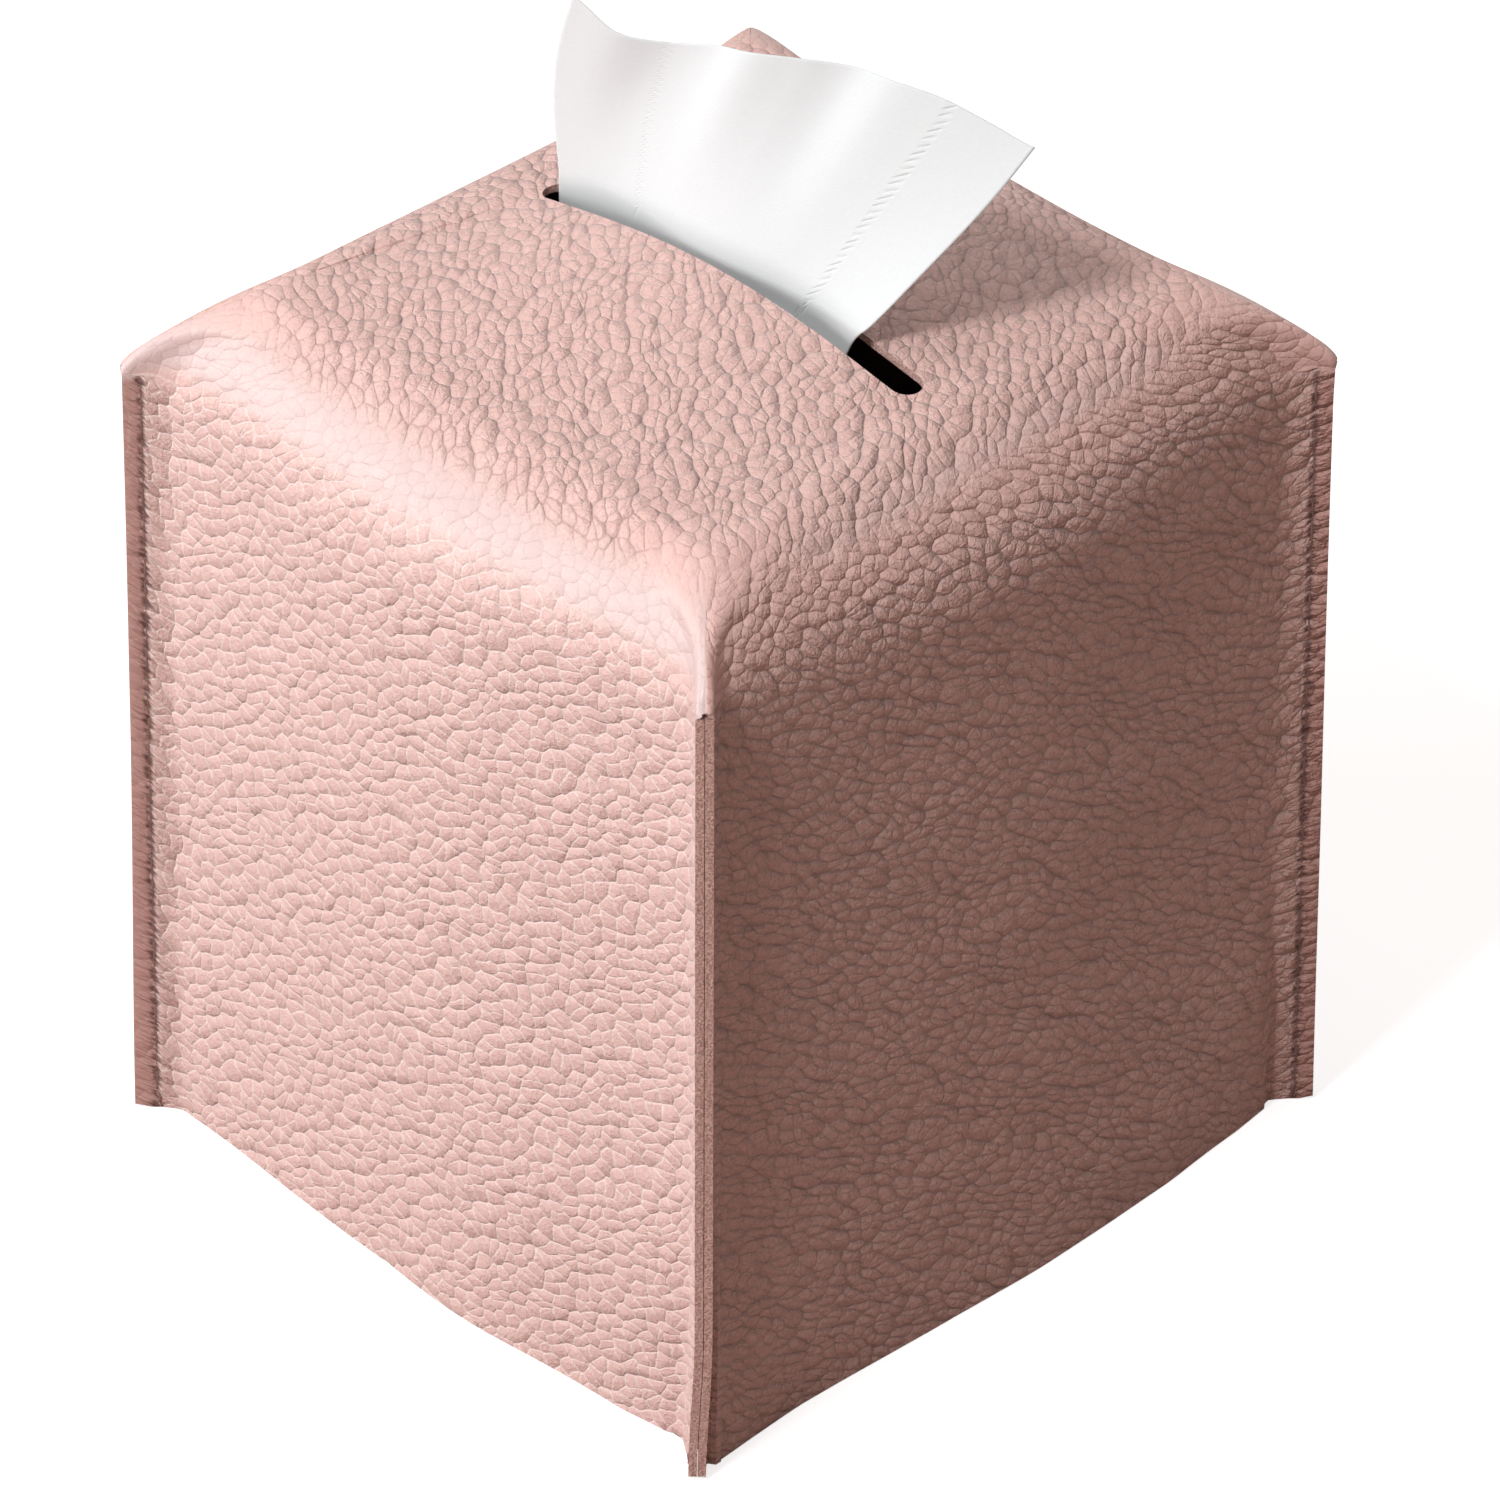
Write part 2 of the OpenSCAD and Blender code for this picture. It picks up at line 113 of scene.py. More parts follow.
# A thread's loose tail below its first hole, in its own radii: outward, down and aside
TAIL_SHAPE = ((0, 0.8, 0.2), (0.8, 1.8, 1), (1.1, 4, 2.1), (0.7, 6.5, 1.2), (0.6, 9, 2.4),
              (0.9, 10.6, 3.2))
# Radius of the bend from a wall into its fin where it isn't the usual one, by wall and end
TIGHT_FLARES = {(1, -1): 3 * MM, (2, 1): 6 * MM}
# How much wider that bend opens at the hem, by wall and end
WIDE_HEM_FLARES = {(0, 1): 5 * MM}
# Studio: half the floor's side, what the camera sees of the floor, the share of the cover's
# size that keeps it dark, the colour of the light all round and the height that is lit
FLOOR_REACH = 3.0
SEEN_FLOOR, FLOOR_GLOW = (0.55, 0.55, 0.55, 1), 0.76
UNDER_SHARE = 0.96
WARM = (1.0, 0.75, 0.65)
LIT_HEIGHT = 0.1
# Each lamp's direction from there, its distance and its size
LAMPS = {
    "side": ((-0.62, -0.55, 0.56), 1.3, 1.0),
    "key": ((0.07, -0.62, 0.78), 1.6, 0.28),
    "over": ((-0.3, 0.15, 0.94), 1.2, 1.0),
    "low": ((-0.6, -0.78, 0.14), 1.3, 0.7),
}
# How much wider each fin is at its foot, by the corner that follows each wall
FIN_SPREAD = (0, 0.2 * MM, 0.4 * MM, 0.9 * MM)
# How far each fin's foot turns aside, by the corner that follows each wall
FIN_TURN = (0.95 * MM, 0, 0, 0)
# Rows of the tissue's mesh below the slot, and the length in mm of a crimped dash
TAIL_ROWS, DASH = 32, 1.3
# Its crimped bands: shares of its width at the slot and at the edge, slant and depth
CRIMP_BANDS = ((0.26, 0.2, 0.7, 0.45), (0.815, 0.825, -0.7, 0.8))
# Height of the tissue's upper edge from left to right, as shares of its highest point
EDGE_HEIGHTS = (0.93, 0.82, 0.82, 0.88, 0.94, 0.97, 0.985, 1, 0.985, 0.935, 0.885)
# Folds of that edge from left to right, backward, as shares of their depth
EDGE_FOLDS = (-0.3, -0.4, 0.55, 0.5, -0.7, -0.2, 0.6, -0.1, 0.05, 0.1, 0)


def linear(code):
    """An sRGB hex code as linear red, green, blue and alpha."""
    parts = [int(code[i:i + 2], 16) / 255 for i in (1, 3, 5)]
    return [c / 12.92 if c <= 0.04045 else ((c + 0.055) / 1.055) ** 2.4 for c in parts] + [1.0]


def size_mm(name, description, mm):
    return FloatProperty(name=name, description=description, default=mm * MM, unit="LENGTH")


def hue(name, description, code):
    return FloatVectorProperty(name=name, description=description, size=4, subtype="COLOR",
                               default=linear(code))


def degrees(name, description, turn):
    return FloatProperty(name=name, description=description, default=math.radians(turn),
                         subtype="ANGLE")


def watts(name, description, power):
    return FloatProperty(name=name, description=description, default=power, unit="POWER")


class CoverSettings(bpy.types.PropertyGroup):
    """Sizes of the leather cover, the same as those of its CAD model"""
    cover_w: size_mm("Width", "From seam edge to seam edge along X", 126)
    cover_d: size_mm("Depth", "From seam edge to seam edge along Y", 133)
    seam_h: size_mm("Seam height", "Height of the corner seams", 140)
    rim_rise: size_mm("Edge rise", "Rise of the soft edge above the seams", 14)
    rim_drop: size_mm("Edge drop", "Start of the bend below the seams' tops", 9)
    rim_reach: size_mm("Edge reach", "Inward reach of the edge, mid wall", 20.5)
    corner_reach: size_mm("Corner reach", "Inward reach of the edge, corner", 23)
    dome_rise: size_mm("Dome rise", "Rise of the top's middle", 5)
    wall_bulge: size_mm("Wall bulge", "Outward swell of a wall", 3.4)
    hem_lean: size_mm("Hem lean", "Outward lean of the walls at the hem", 1.7)
    leather_t: size_mm("Leather", "Thickness of the leather", 1.3)
    ply_gap: size_mm("Ply gap", "Gap between a fin's two layers", 0.1)
    flare_r: size_mm("Flare radius", "Bend of a wall into its fin", 8)
    seam_margin: size_mm("Seam margin", "Cut edge to stitches", 2.8)
    slot_end_room: size_mm("Slot end room", "Slot end to the cover's side", 23.3)
    slot_w: size_mm("Slot width", "Width of the slot", 5.5)
    corner_lift: size_mm("Corner lift", "Extra height of the top's back left corner", 2)
    corner_soft: size_mm("Soft corners", "How widely the fold over a fin opens into the top", 5)
    pucker: size_mm("Pucker", "How far the stitches pull the leather in", 0.42)


class ThreadSettings(bpy.types.PropertyGroup):
    """Sizes of the seams' threads"""
    stitch_l: size_mm("Stitch", "Length of one stitch", 4.4)
    thread_d: size_mm("Thread", "Diameter of the thread", 0.5)
    seam_start: size_mm("Seam start", "Hem to first needle hole", 3)
    seam_stop: size_mm("Seam stop", "Last needle hole to seam top", 2.5)
    sides: IntProperty(name="Sides", description="Sides of the thread's tube", default=8)


class TissueSettings(bpy.types.PropertyGroup):
    """Sizes of the tissue that stands in the slot"""
    height: size_mm("Height", "Highest point above the cover", 34.5)
    tail: size_mm("Tail", "Length below the top of the cover", 26)
    left_room: size_mm("Left room", "Free slot left of the tissue", 2.5)
    right_room: size_mm("Right room", "Free slot right of the tissue", 12)
    left_lean: size_mm("Left lean", "Upper left corner, right of its foot", 4)
    left_bow: size_mm("Left bow", "Bow of the left side", 2.5)
    right_lean: size_mm("Right lean", "Upper right corner, right of its foot", 15.5)
    right_bow: size_mm("Right bow", "Bow of the right side", 1.1)
    back_lean: size_mm("Back lean", "Upper right corner, back of its foot", 20)
    tail_draw: size_mm("Tail draw", "How far the right side draws in below the slot", 5)
    fold_depth: size_mm("Fold depth", "Depth of the folds at the edge", 1.8)
    thickness: size_mm("Thickness", "Thickness of the two soft plies", 0.18)
    clear: size_mm("Clearance", "Tissue to the slot's lips", 0.5)
    cad_thickness: size_mm("CAD thickness", "Thickness of the CAD sheet", 0.4)
    columns: IntProperty(name="Columns", description="Mesh columns", default=170)
    rows: IntProperty(name="Rows", description="Mesh rows above the slot", default=90)


class LookSettings(bpy.types.PropertyGroup):
    """Colours, and the sizes of the grain"""
    skin: hue("Skin", "Leather on the domes of its grain", "#E8C0B8")
    # The crease colour is painted shade: it darkens the creases, the fins and the groove of the
    # seam
    crease: hue("Crease", "Leather deep in the creases", "#B07C72")
    # A paler colour that is partly painted highlight: it lightens the soft edge, the front and back
    # walls and the pebbles' rims
    stretched_and_lit: hue("Stretched", "Leather where it is stretched", "#EAD6D1")
    edge: hue("Cut edge", "Raw cut edge of the leather", "#D6ABA3")
    backing: hue("Backing", "Brushed backing inside", "#CDB3AC")
    thread: hue("Thread", "Sewing thread", "#94706A")
    tissue: hue("Tissue", "Tissue paper", "#EDF3F5")
    pebble: size_mm("Pebble", "Usual size of a pebble of the grain", 2.2)
    relief: size_mm("Relief", "Depth of the grain's creases", 0.66)


class StageSettings(bpy.types.PropertyGroup):
    """Camera and light"""
    azimuth: degrees("Azimuth", "Camera round the cover, from the front", 45.338)
    elevation: degrees("Elevation", "Camera above the horizon", 35.729)
    roll: degrees("Roll", "Turn of the camera about its own axis", 0.321)
    distance: FloatProperty(name="Distance", description="Camera to the point it looks at",
                            default=1.3296, unit="LENGTH")
    aside: size_mm("Aside", "That point, sideways from the axis", 3.43)
    aim_z: size_mm("Aim height", "Height of that point", 68.87)
    focal: FloatProperty(name="Focal length", description="On a sensor 36 mm wide",
                         default=204.68, unit="CAMERA")
    side_power: watts("Side light", "Large soft light from the left", 0.8)
    key_power: watts("Key light", "Smaller light from the front, above", 14.4)
    over_power: watts("Overhead", "Large soft light above the cover", 3.6)
    low_power: watts("Low light", "Weak soft light on the front", 9.9)
    ambient: FloatProperty(name="Ambient", description="Strength of the light from all round",
                           default=0.2)
    floor: hue("Floor", "Pale floor", "#A88D83")


def plain(group):
    """A property group's values as a plain namespace."""
    return SimpleNamespace(**{name: getattr(group, name) for name in group.__annotations__})


def smooth(x, low=0.0, high=1.0):
    """Smooth step from 0 at low to 1 at high."""
    x = np.clip((np.asarray(x, float) - low) / (high - low), 0, 1)
    return x * x * (3 - 2 * x)


def ease(x):
    """Cosine step from 1 at 0 down to 0 at 1."""
    return (1 + np.cos(np.pi * np.clip(x, 0, 1))) / 2


def fade(q, span):
    """That step over a span."""
    return ease((q - span[0]) / (span[1] - span[0]))


def read_table(table, x):
    """Values between the points of a table of pairs."""
    return np.interp(x, [p[0] for p in table], [p[1] for p in table])


def spline(values, s):
    """Smooth curve through evenly spaced values, read at shares s of its length."""
    v = np.asarray(values, float)
    x = np.clip(np.asarray(s, float), 0, 1) * (len(v) - 1)
    i = np.minimum(x.astype(int), len(v) - 2)
    f = x - i
    before, after = v[np.maximum(i - 1, 0)], v[np.minimum(i + 2, len(v) - 1)]
    m0, m1 = (v[i + 1] - before) / 2, (after - v[i]) / 2
    return ((2 * f**3 - 3 * f**2 + 1) * v[i] + (f**3 - 2 * f**2 + f) * m0
            + (3 * f**2 - 2 * f**3) * v[i + 1] + (f**3 - f**2) * m1)


def turned(side, u, v):
    """A wall's own plan, u along it and v outward, turned into x, y."""
    return ((u, -v), (v, u), (-u, v), (-v, -u))[side]


def unit(a):
    return a / np.maximum(np.linalg.norm(a, axis=-1, keepdims=True), 1e-12)


def gone(points, axis=0):
    """Length gone along lines of points, from 0 at the start of each line."""
    step = np.linalg.norm(np.diff(points, axis=axis), axis=-1)
    return np.concatenate([0 * np.take(step, [0], axis), np.cumsum(step, axis)], axis)


def diagonal_out(side, u, v):
    """Level direction that has equal parts u and v of one wall's own plan."""
    return np.array([*turned(side, u, v), 0]) * DIAGONAL


# The cover's surface. A place along half a wall is a number q: 0 at the seam edge, 1 at the
# stitches, 2 at the end of the flare, 3 at the middle of the wall. t runs up: -1 at the hem,
# 0 at the seams' tops, 1 at the inner end of the soft edge, 2 at the slot.

def with_derived(c):
    """The cover's sizes with those that follow from them."""
    c.half_w, c.half_d = c.cover_w / 2, c.cover_d / 2
    c.ply_mid = (c.ply_gap + c.leather_t) / 2
    c.bend_r = c.flare_r + c.leather_t / 2
    c.rim_z = c.seam_h + c.rim_rise - c.leather_t / 2
    c.inset = c.corner_reach * DIAGONAL
    c.slot_l = c.cover_w - 2 * c.slot_end_room
    c.slot_r = c.slot_w / 2
    c.slot_straight = c.slot_l / 2 - c.slot_r
    c.slot_z = c.seam_h + c.rim_rise + c.dome_rise
    return c


def halves(c, side):
    """Half the wall's length, and its distance from the middle of the cover."""
    return (c.half_w, c.half_d) if side % 2 == 0 else (c.half_d, c.half_w)


def wall_plan(c, q, a, b, bend=None):
    """Plan of a wall below the soft edge: u along it and v outward."""
    bend = c.bend_r if bend is None else bend
    shift = (c.ply_mid + bend) * DIAGONAL
    cx, cy = a - c.seam_margin * DIAGONAL - shift, b - c.seam_margin * DIAGONAL + shift
    usual = b + (c.ply_mid + c.bend_r - c.seam_margin) * DIAGONAL - c.bend_r
    u, turn = cx * (3 - q), np.radians(-45 * q)
    margin = q * c.seam_margin * DIAGONAL
    x = np.where(q < 1, a - c.ply_mid * DIAGONAL - margin,
                 np.where(q <= 2, cx + bend * np.cos(turn), u))
    y = np.where(q < 1, b + c.ply_mid * DIAGONAL - margin,
                 np.where(q <= 2, cy + bend * np.sin(turn),
                          usual + (cy - bend - usual) * smooth(3 - q)
                          + c.wall_bulge * ease(u / cx)))
    return x, y


def corner_share(q):
    """Share of the way from the ridge to the end of the flare, above the seams."""
    return np.where(q <= 1, TIP_SHARE + (STITCH_SHARE - TIP_SHARE) * q,
                    STITCH_SHARE + (1 - STITCH_SHARE) * (q - 1))


def rim_mid_v(c, a, b):
    """Outward place of the soft edge's inner end in the middle of a wall."""
    return float(wall_plan(c, np.array(3.0), a, b)[1]) - c.rim_reach


def rim_plan(c, q, a, b):
    """Plan of the soft edge's inner end."""
    a_in, b_in = a - c.inset, b - c.inset
    cx = a - (c.seam_margin + c.ply_mid + c.bend_r) * DIAGONAL
    flare_u = cx * a_in / a
    u = np.where(q <= 2, a_in - (a_in - flare_u) * corner_share(q), flare_u * (3 - q))
    return u, b_in + (rim_mid_v(c, a, b) - b_in) * ease(u / a_in)


def slot_plan(c, side, q):
    """Plan of the slot's rim."""
    share = corner_share(q)
    if side % 2:
        end = np.where(q <= 2, FLARE_END_SHARE * share,
                       FLARE_END_SHARE + (1 - FLARE_END_SHARE) * (q - 2))
        turn = np.radians(45 * (1 - end))
        return c.slot_r * np.sin(turn), c.slot_straight + c.slot_r * np.cos(turn)
    turn = np.radians(45 + 45 * share)
    return (np.where(q <= 2, c.slot_straight + c.slot_r * np.cos(turn), c.slot_straight * (3 - q)),
            np.where(q <= 2, c.slot_r * np.sin(turn), c.slot_r))


def top_z(c, x, y):
    """Height of the domed top, in the middle of the leather."""
    def fall(p, reach):
        return np.maximum(0, 1 - (p / reach) ** 2) ** DOME_POWER
    return c.rim_z + c.dome_rise * (fall(x, rim_mid_v(c, c.half_d, c.half_w))
                                    * fall(y, rim_mid_v(c, c.half_w, c.half_d)))


def lean(c, z):
    """How far a wall leans outward."""
    return c.hem_lean * np.maximum(0, 1 - z / c.seam_h)


def foot_turn(c, fin, z):
    """How far a fin's foot turns aside."""
    return FIN_TURN[fin] * (1 - smooth(z, 0, TURN_H * c.seam_h))


def wall_surface(c, side, q, flip, t):
    """Middle of the leather at columns q and heights t of one wall."""
    q, t, flip = np.broadcast_arrays(np.asarray(q, float), np.asarray(t, float), flip)
    a, b = halves(c, side)
    low_z = c.seam_h * (1 + np.minimum(t, 0))
    out = lean(c, low_z)
    tight, wide = [np.where(flip < 0, table.get((side, -1), usual), table.get((side, 1), usual))
                   for table, usual in ((TIGHT_FLARES, c.flare_r), (WIDE_HEM_FLARES, 0))]
    bend = tight + c.leather_t / 2 + wide * (1 - smooth(low_z, 0, WIDE_H * c.seam_h))
    foot = wall_plan(c, q, a + out, b + out, bend)
    rim, slot = rim_plan(c, q, a, b), slot_plan(c, side, q)
    power = WALL_POWER - (WALL_POWER - RIDGE_POWER) * fade(q, POWER_FADE)
    start = c.seam_h - c.rim_drop * (1 - fade(q, DROP_FADE))
    top = top_z(c, *turned(side, flip * rim[0], rim[1]))
    first = np.arcsin(((c.seam_h - start) / (top - start)) ** (power / 2))
    angle = first + (np.pi / 2 - first) * np.clip(t, 0, 1)
    up = np.clip((low_z - start) / (top - start), 0, 1)
    inward = np.where(t < 0, 1 - (1 - up ** power) ** (1 / power),
                      1 - np.clip(np.cos(angle), 0, 1) ** (2 / power))
    over = np.clip(t - 1, 0, 1)
    flat = [np.where(t > 1, r + (s - r) * over, f + (r - f) * inward)
            for f, r, s in zip(foot, rim, slot)]
    x, y = turned(side, flip * flat[0], flat[1])
    z = np.where(t < 0, low_z,
                 np.where(t <= 1, start + (top - start) * np.sin(angle) ** (2 / power),
                          top_z(c, x, y)))
    return np.stack([x, y, z], -1)


def ridge_line(c, side, t):
    """Middle of the leather along the ridge that starts as a tight fold over a seam."""
    a, b = halves(c, side)
    angle = np.pi / 2 * np.clip(t, 0, 1)
    start = [share * c.leather_t for share in FOLD_START]
    d = start[0] + (c.corner_reach - start[0]) * (
        1 - np.clip(np.cos(angle), 0, 1) ** (2 / RIDGE_POWER))
    rim = (a - c.inset, b - c.inset)
    across = c.slot_r * DIAGONAL
    slot = (c.slot_straight + across, across)[::1 - 2 * (side % 2)]
    over = np.clip(t - 1, 0, 1)
    flat = [np.where(t <= 1, e - d * DIAGONAL, r + (s - r) * over)
            for e, r, s in zip((a, b), rim, slot)]
    rise = top_z(c, *turned(side, *rim)) - c.seam_h - start[1]
    x, y = turned(side, *flat)
    z = np.where(t <= 1, c.seam_h + start[1] + rise * np.sin(angle) ** (2 / RIDGE_POWER),
                 top_z(c, x, y))
    return np.stack([x, y, z], -1)


def waves(u, v, seed):
    """Slow unevenness of soft leather, about -1 to 1."""
    rng = np.random.default_rng(seed)
    total = 0
    for size in WAVE_SIZES:
        turn, phase = rng.uniform(0, 2 * math.pi, 2)
        total = total + size / WAVE_SIZES[0] * np.sin(
            2 * np.pi / size * (u * math.cos(turn) + v * math.sin(turn)) + phase)
    return total / WAVE_SUM


class CoverGrid:
    """Rows and columns of the leather's middle surface, with what its materials need.

    The strips are the walls below the seams' tops; the rings go all round above them.
    """

    NOSE = 3

    def __init__(self, c, th):
        seam_run = c.seam_h - th.seam_start - th.seam_stop
        self.stitches = round(seam_run / th.stitch_l)
        self.step = seam_run / self.stitches
        z = np.concatenate([[0, th.seam_start / 3, th.seam_start * 2 / 3],
                            th.seam_start + np.arange(STITCH_ROWS * self.stitches + 1)
                            * self.step / STITCH_ROWS,
                            [c.seam_h - th.seam_stop / 2]])
        self.low_t = z / c.seam_h - 1
        self.high_t = np.concatenate([np.linspace(0, 1, RIM_ROWS + 1),
                                      1 + np.linspace(0, 1, DOME_ROWS + 1)[1:]])
        half = np.concatenate([FIN_COLUMNS, 1 + np.arange(FLARE_COLUMNS + 1) / FLARE_COLUMNS,
                               2 + np.arange(1, WALL_COLUMNS + 1) / WALL_COLUMNS])
        self.q = np.concatenate([half, half[-2::-1]])
        self.flip = np.where(np.arange(len(self.q)) < len(half), -1.0, 1.0)
        self.n = len(self.q)
        self.c, self.th = c, th
        self.build()

    def build(self):
        c, n, rows = self.c, self.n, len(self.low_t)
        t = np.concatenate([self.low_t, self.high_t])[:, None]
        walls = [self.shaped(side, wall_surface(c, side, self.q[None], self.flip[None], t))
                 for side in range(4)]
        self.strips = [w[:rows] for w in walls]
        rings = []
        for side in range(4):
            ridge = self.lifted(ridge_line(c, side, self.high_t))
            rings += [walls[side][rows:], self.nose(side, walls, ridge, rows)]
        self.rings = np.concatenate(rings, 1)
        self.ring_n = self.rings.shape[1]
        self.side_n = n + 2 * self.NOSE + 1
        self.soften_corners()
        self.lay_out()
        self.set_normals()

    def lifted(self, p):
        """The back left corner of the top stands a little prouder than the others."""
        c = self.c
        gap = np.hypot(p[..., 0] + c.half_w, p[..., 1] - c.half_d)
        p = p.copy()
        start, end = [share * c.seam_h for share in LIFT_SPAN]
        p[..., 2] += c.corner_lift * np.exp(-(gap / LIFT_WIDTH) ** 2) * smooth(
            p[..., 2], start, end)
        return p

    def shaped(self, side, w):
        """One wall with the wandering hem, the unevenness and the wavy cut edge."""
        c = self.c
        a, _ = halves(c, side)
        q, t = self.q[None], np.concatenate([self.low_t, self.high_t])[:, None]
        across = (self.flip * np.where(self.q < 1, 1, (3 - self.q) / 2.0))[None]
        height = np.minimum(1, 1 + t)
        wander = read_table(HEM_WANDER[side], (across + 1) / 2) * MM
        wander = wander * (1 - smooth(height, 0, WANDER_H)) * smooth(q, *WANDER_Q)
        uneven = UNEVEN * waves(across * a, height * c.seam_h, 11 + side) * smooth(q, *UNEVEN_Q)
        uneven = uneven * (1 - smooth(t, *UNEVEN_T))
        # Each fin keeps its own edge: both its layers wave and spread together
        fins = np.where(self.flip > 0, side, (side + 3) % 4)
        edge = np.zeros_like(uneven)
        for fin in set(fins):
            own = waves(height * c.seam_h / 5, 0 * height, 31 + fin) * EDGE_WAVE
            own = own + EDGE_RIPPLE * waves(height * c.seam_h / 2, 0 * height, 41 + 5 * side + fin)
            spread = FIN_SPREAD[fin] * (1 - smooth(height, 0, SPREAD_H))
            edge = np.where((fins == fin)[None], own + spread, edge)
        edge = edge * (1 - smooth(q, *EDGE_Q)) * np.clip(-t * 30, 0, 1)
        along = unit(np.gradient(w, axis=1))
        upward = unit(np.gradient(w, axis=0))
        out = np.array([*turned(side, 0, 1), 0.6])
        normal = unit(np.cross(along, upward))
        normal = normal * np.sign((normal * out).sum(-1, keepdims=True))
        flat_out = np.array([*turned(side, 0, 1), 0])
        w = w + normal * uneven[..., None] + flat_out * wander[..., None]
        ends = [diagonal_out(side, flip, 1) for flip in (-1, 1)]
        w = w + np.where((self.flip > 0)[None, :, None], ends[1], ends[0]) * edge[..., None]
        for fin in set(fins):
            aside = foot_turn(c, fin, height * c.seam_h) * (1 - smooth(q, *TURN_Q)) * (fins == fin)
            w = w + diagonal_out(fin, -1, 1) * aside[..., None]
        # The hem isn't cut quite straight, and each fin's foot has a rounded corner
        hem = HEM_CUT * (1 + waves(across * a * 3, 0 * across, 51 + side))
        hem = hem + FOOT_ROUND * (1 - smooth(q, *FOOT_Q))
        w[..., 2] += np.where(t <= -1, hem, 0)
        return self.lifted(w)

    def nose(self, side, walls, ridge, rows):
        """Columns that round the fold between two walls, over the top of their fin."""
        tips = (walls[side][rows:, -1], walls[(side + 1) % 4][rows:, 0])
        open_up = smooth(self.high_t, *FOLD_T)[:, None]
        normal = diagonal_out(side, -1, 1)
        columns = []
        for tip in tips:
            bend = ridge + ((tip - ridge) @ normal)[:, None] * normal
            bend = bend + ((tip + ridge) / 2 - bend) * open_up
            columns.append([tip * (1 - w) ** 2 + 2 * w * (1 - w) * bend + ridge * w * w
                            for w in np.arange(1, self.NOSE + 1) / (self.NOSE + 1)])
        return np.stack(columns[0] + [ridge] + columns[1][::-1], 1)

    def corner(self, side):
        """The ring's columns from the middle of one wall round a fin to the middle of the next."""
        ridge = side * self.side_n + self.n + self.NOSE
        reach = self.n // 2 + self.NOSE
        return (ridge + np.arange(-reach, reach + 1)) % self.ring_n, reach

    def soften_corners(self):
        """Lets the fold over each fin widen, as it rises, into a soft corner of the top."""
        width = self.c.corner_soft * smooth(self.high_t, *SOFT_START_T) * (
            1 - smooth(self.high_t, *SOFT_END_T))
        for side in range(4):
            cols, reach = self.corner(side)
            for i in np.flatnonzero(width > 0.05 * MM):
                p = self.rings[i, cols]
                s = gone(p)
                s = s - s[reach]
                near = np.exp(-((s[:, None] - s[None]) / width[i]) ** 2 / 2) * np.gradient(s)[None]
                soft = (near / near.sum(1, keepdims=True)) @ p
                back = (p[reach] - soft[reach]) * np.exp(-(s / (2.2 * width[i])) ** 2)[:, None]
                far = smooth(np.abs(s), *SOFT_SPAN)[:, None]
                amount = min(1, width[i] / MM)
                self.rings[i, cols] = p + (soft + back - p) * (1 - far) * amount

    def lay_out(self):
        """Places on the flat sheet, in mm: one set for the walls, one that runs over the top.

        Beside a ridge the walls' places start from each wall's own side, so the ridge's
        column has a second set for the faces that follow it.
        """
        n, rows, high = self.n, len(self.low_t), len(self.high_t)
        self.strip_uv, self.strip_top_uv, wall_uv = [], [], []
        low = rows // 2
        for side in range(4):
            first = side * self.side_n
            cols = (first + np.arange(-self.NOSE - 1, n + self.NOSE + 1)) % self.ring_n
            ring = self.rings[:, cols]
            s = gone(self.strips[side][low])
            s = s - s[n // 2]
            body = self.NOSE + 1
            gap = np.linalg.norm(np.diff(ring, axis=1), axis=-1)
            before = np.cumsum(gap[:, :body][:, ::-1], 1)[:, ::-1]
            after = np.cumsum(gap[:, body + n - 1:], 1)
            u = np.concatenate([s[0] - before, np.broadcast_to(s, (high, n)), s[-1] + after], 1)
            column = np.concatenate([self.strips[side], self.rings[:, first:first + n]])
            down = gone(column)
            down = down[rows + RIM_ROWS] - down
            v = down[rows:]
            v = np.concatenate([np.repeat(v[:, :1], body, 1), v, np.repeat(v[:, -1:], body, 1)], 1)
            shift = np.array([WALLS_APART * side, 0])
            self.strip_uv.append(np.stack([np.broadcast_to(s, (rows, n)), down[:rows]], -1) + shift)
            wall_uv.append(np.stack([u, v], -1) + shift)
            outward = np.array(turned(side, 0, 1))
            self.strip_top_uv.append(self.rings[RIM_ROWS, first:first + n, :2][None]
                                     + outward * down[:rows, :, None])
        pieces, self.after_ridge = [], []
        for side in range(4):
            own, nxt = wall_uv[side], wall_uv[(side + 1) % 4]
            m = self.NOSE
            pieces += [own[:, m + 1:m + 1 + n + m + 1], nxt[:, 1:m + 1]]
            self.after_ridge.append(nxt[:, 0])
        self.ring_uv = np.concatenate(pieces, 1)
        # Over the top: the plan, run on outward from the rim along the leather
        top = self.rings[:, :, :2].copy()
        for side in range(4):
            cols, reach = self.corner(side)
            p = self.rings[:, cols]
            s = gone(p, 1)
            s = s - s[:, reach:reach + 1]
            angle = np.pi / 4 * (1 + np.tanh(s / TURN_WIDTH))
            start, end = np.array(turned(side, 0, 1)), np.array(turned(side, 1, 0))
            way = np.cos(angle)[..., None] * start + np.sin(angle)[..., None] * end
            run = np.diff(p[:RIM_ROWS + 1], axis=0)
            extra = np.linalg.norm(run, axis=-1) - np.linalg.norm(run[..., :2], axis=-1)
            extra = np.concatenate([np.cumsum(extra[::-1], 0)[::-1], np.zeros((1, len(cols)))])
            top[:RIM_ROWS + 1, cols] = (p[:RIM_ROWS + 1, :, :2]
                                        + way[:RIM_ROWS + 1] * extra[..., None])
        self.ring_top_uv = top

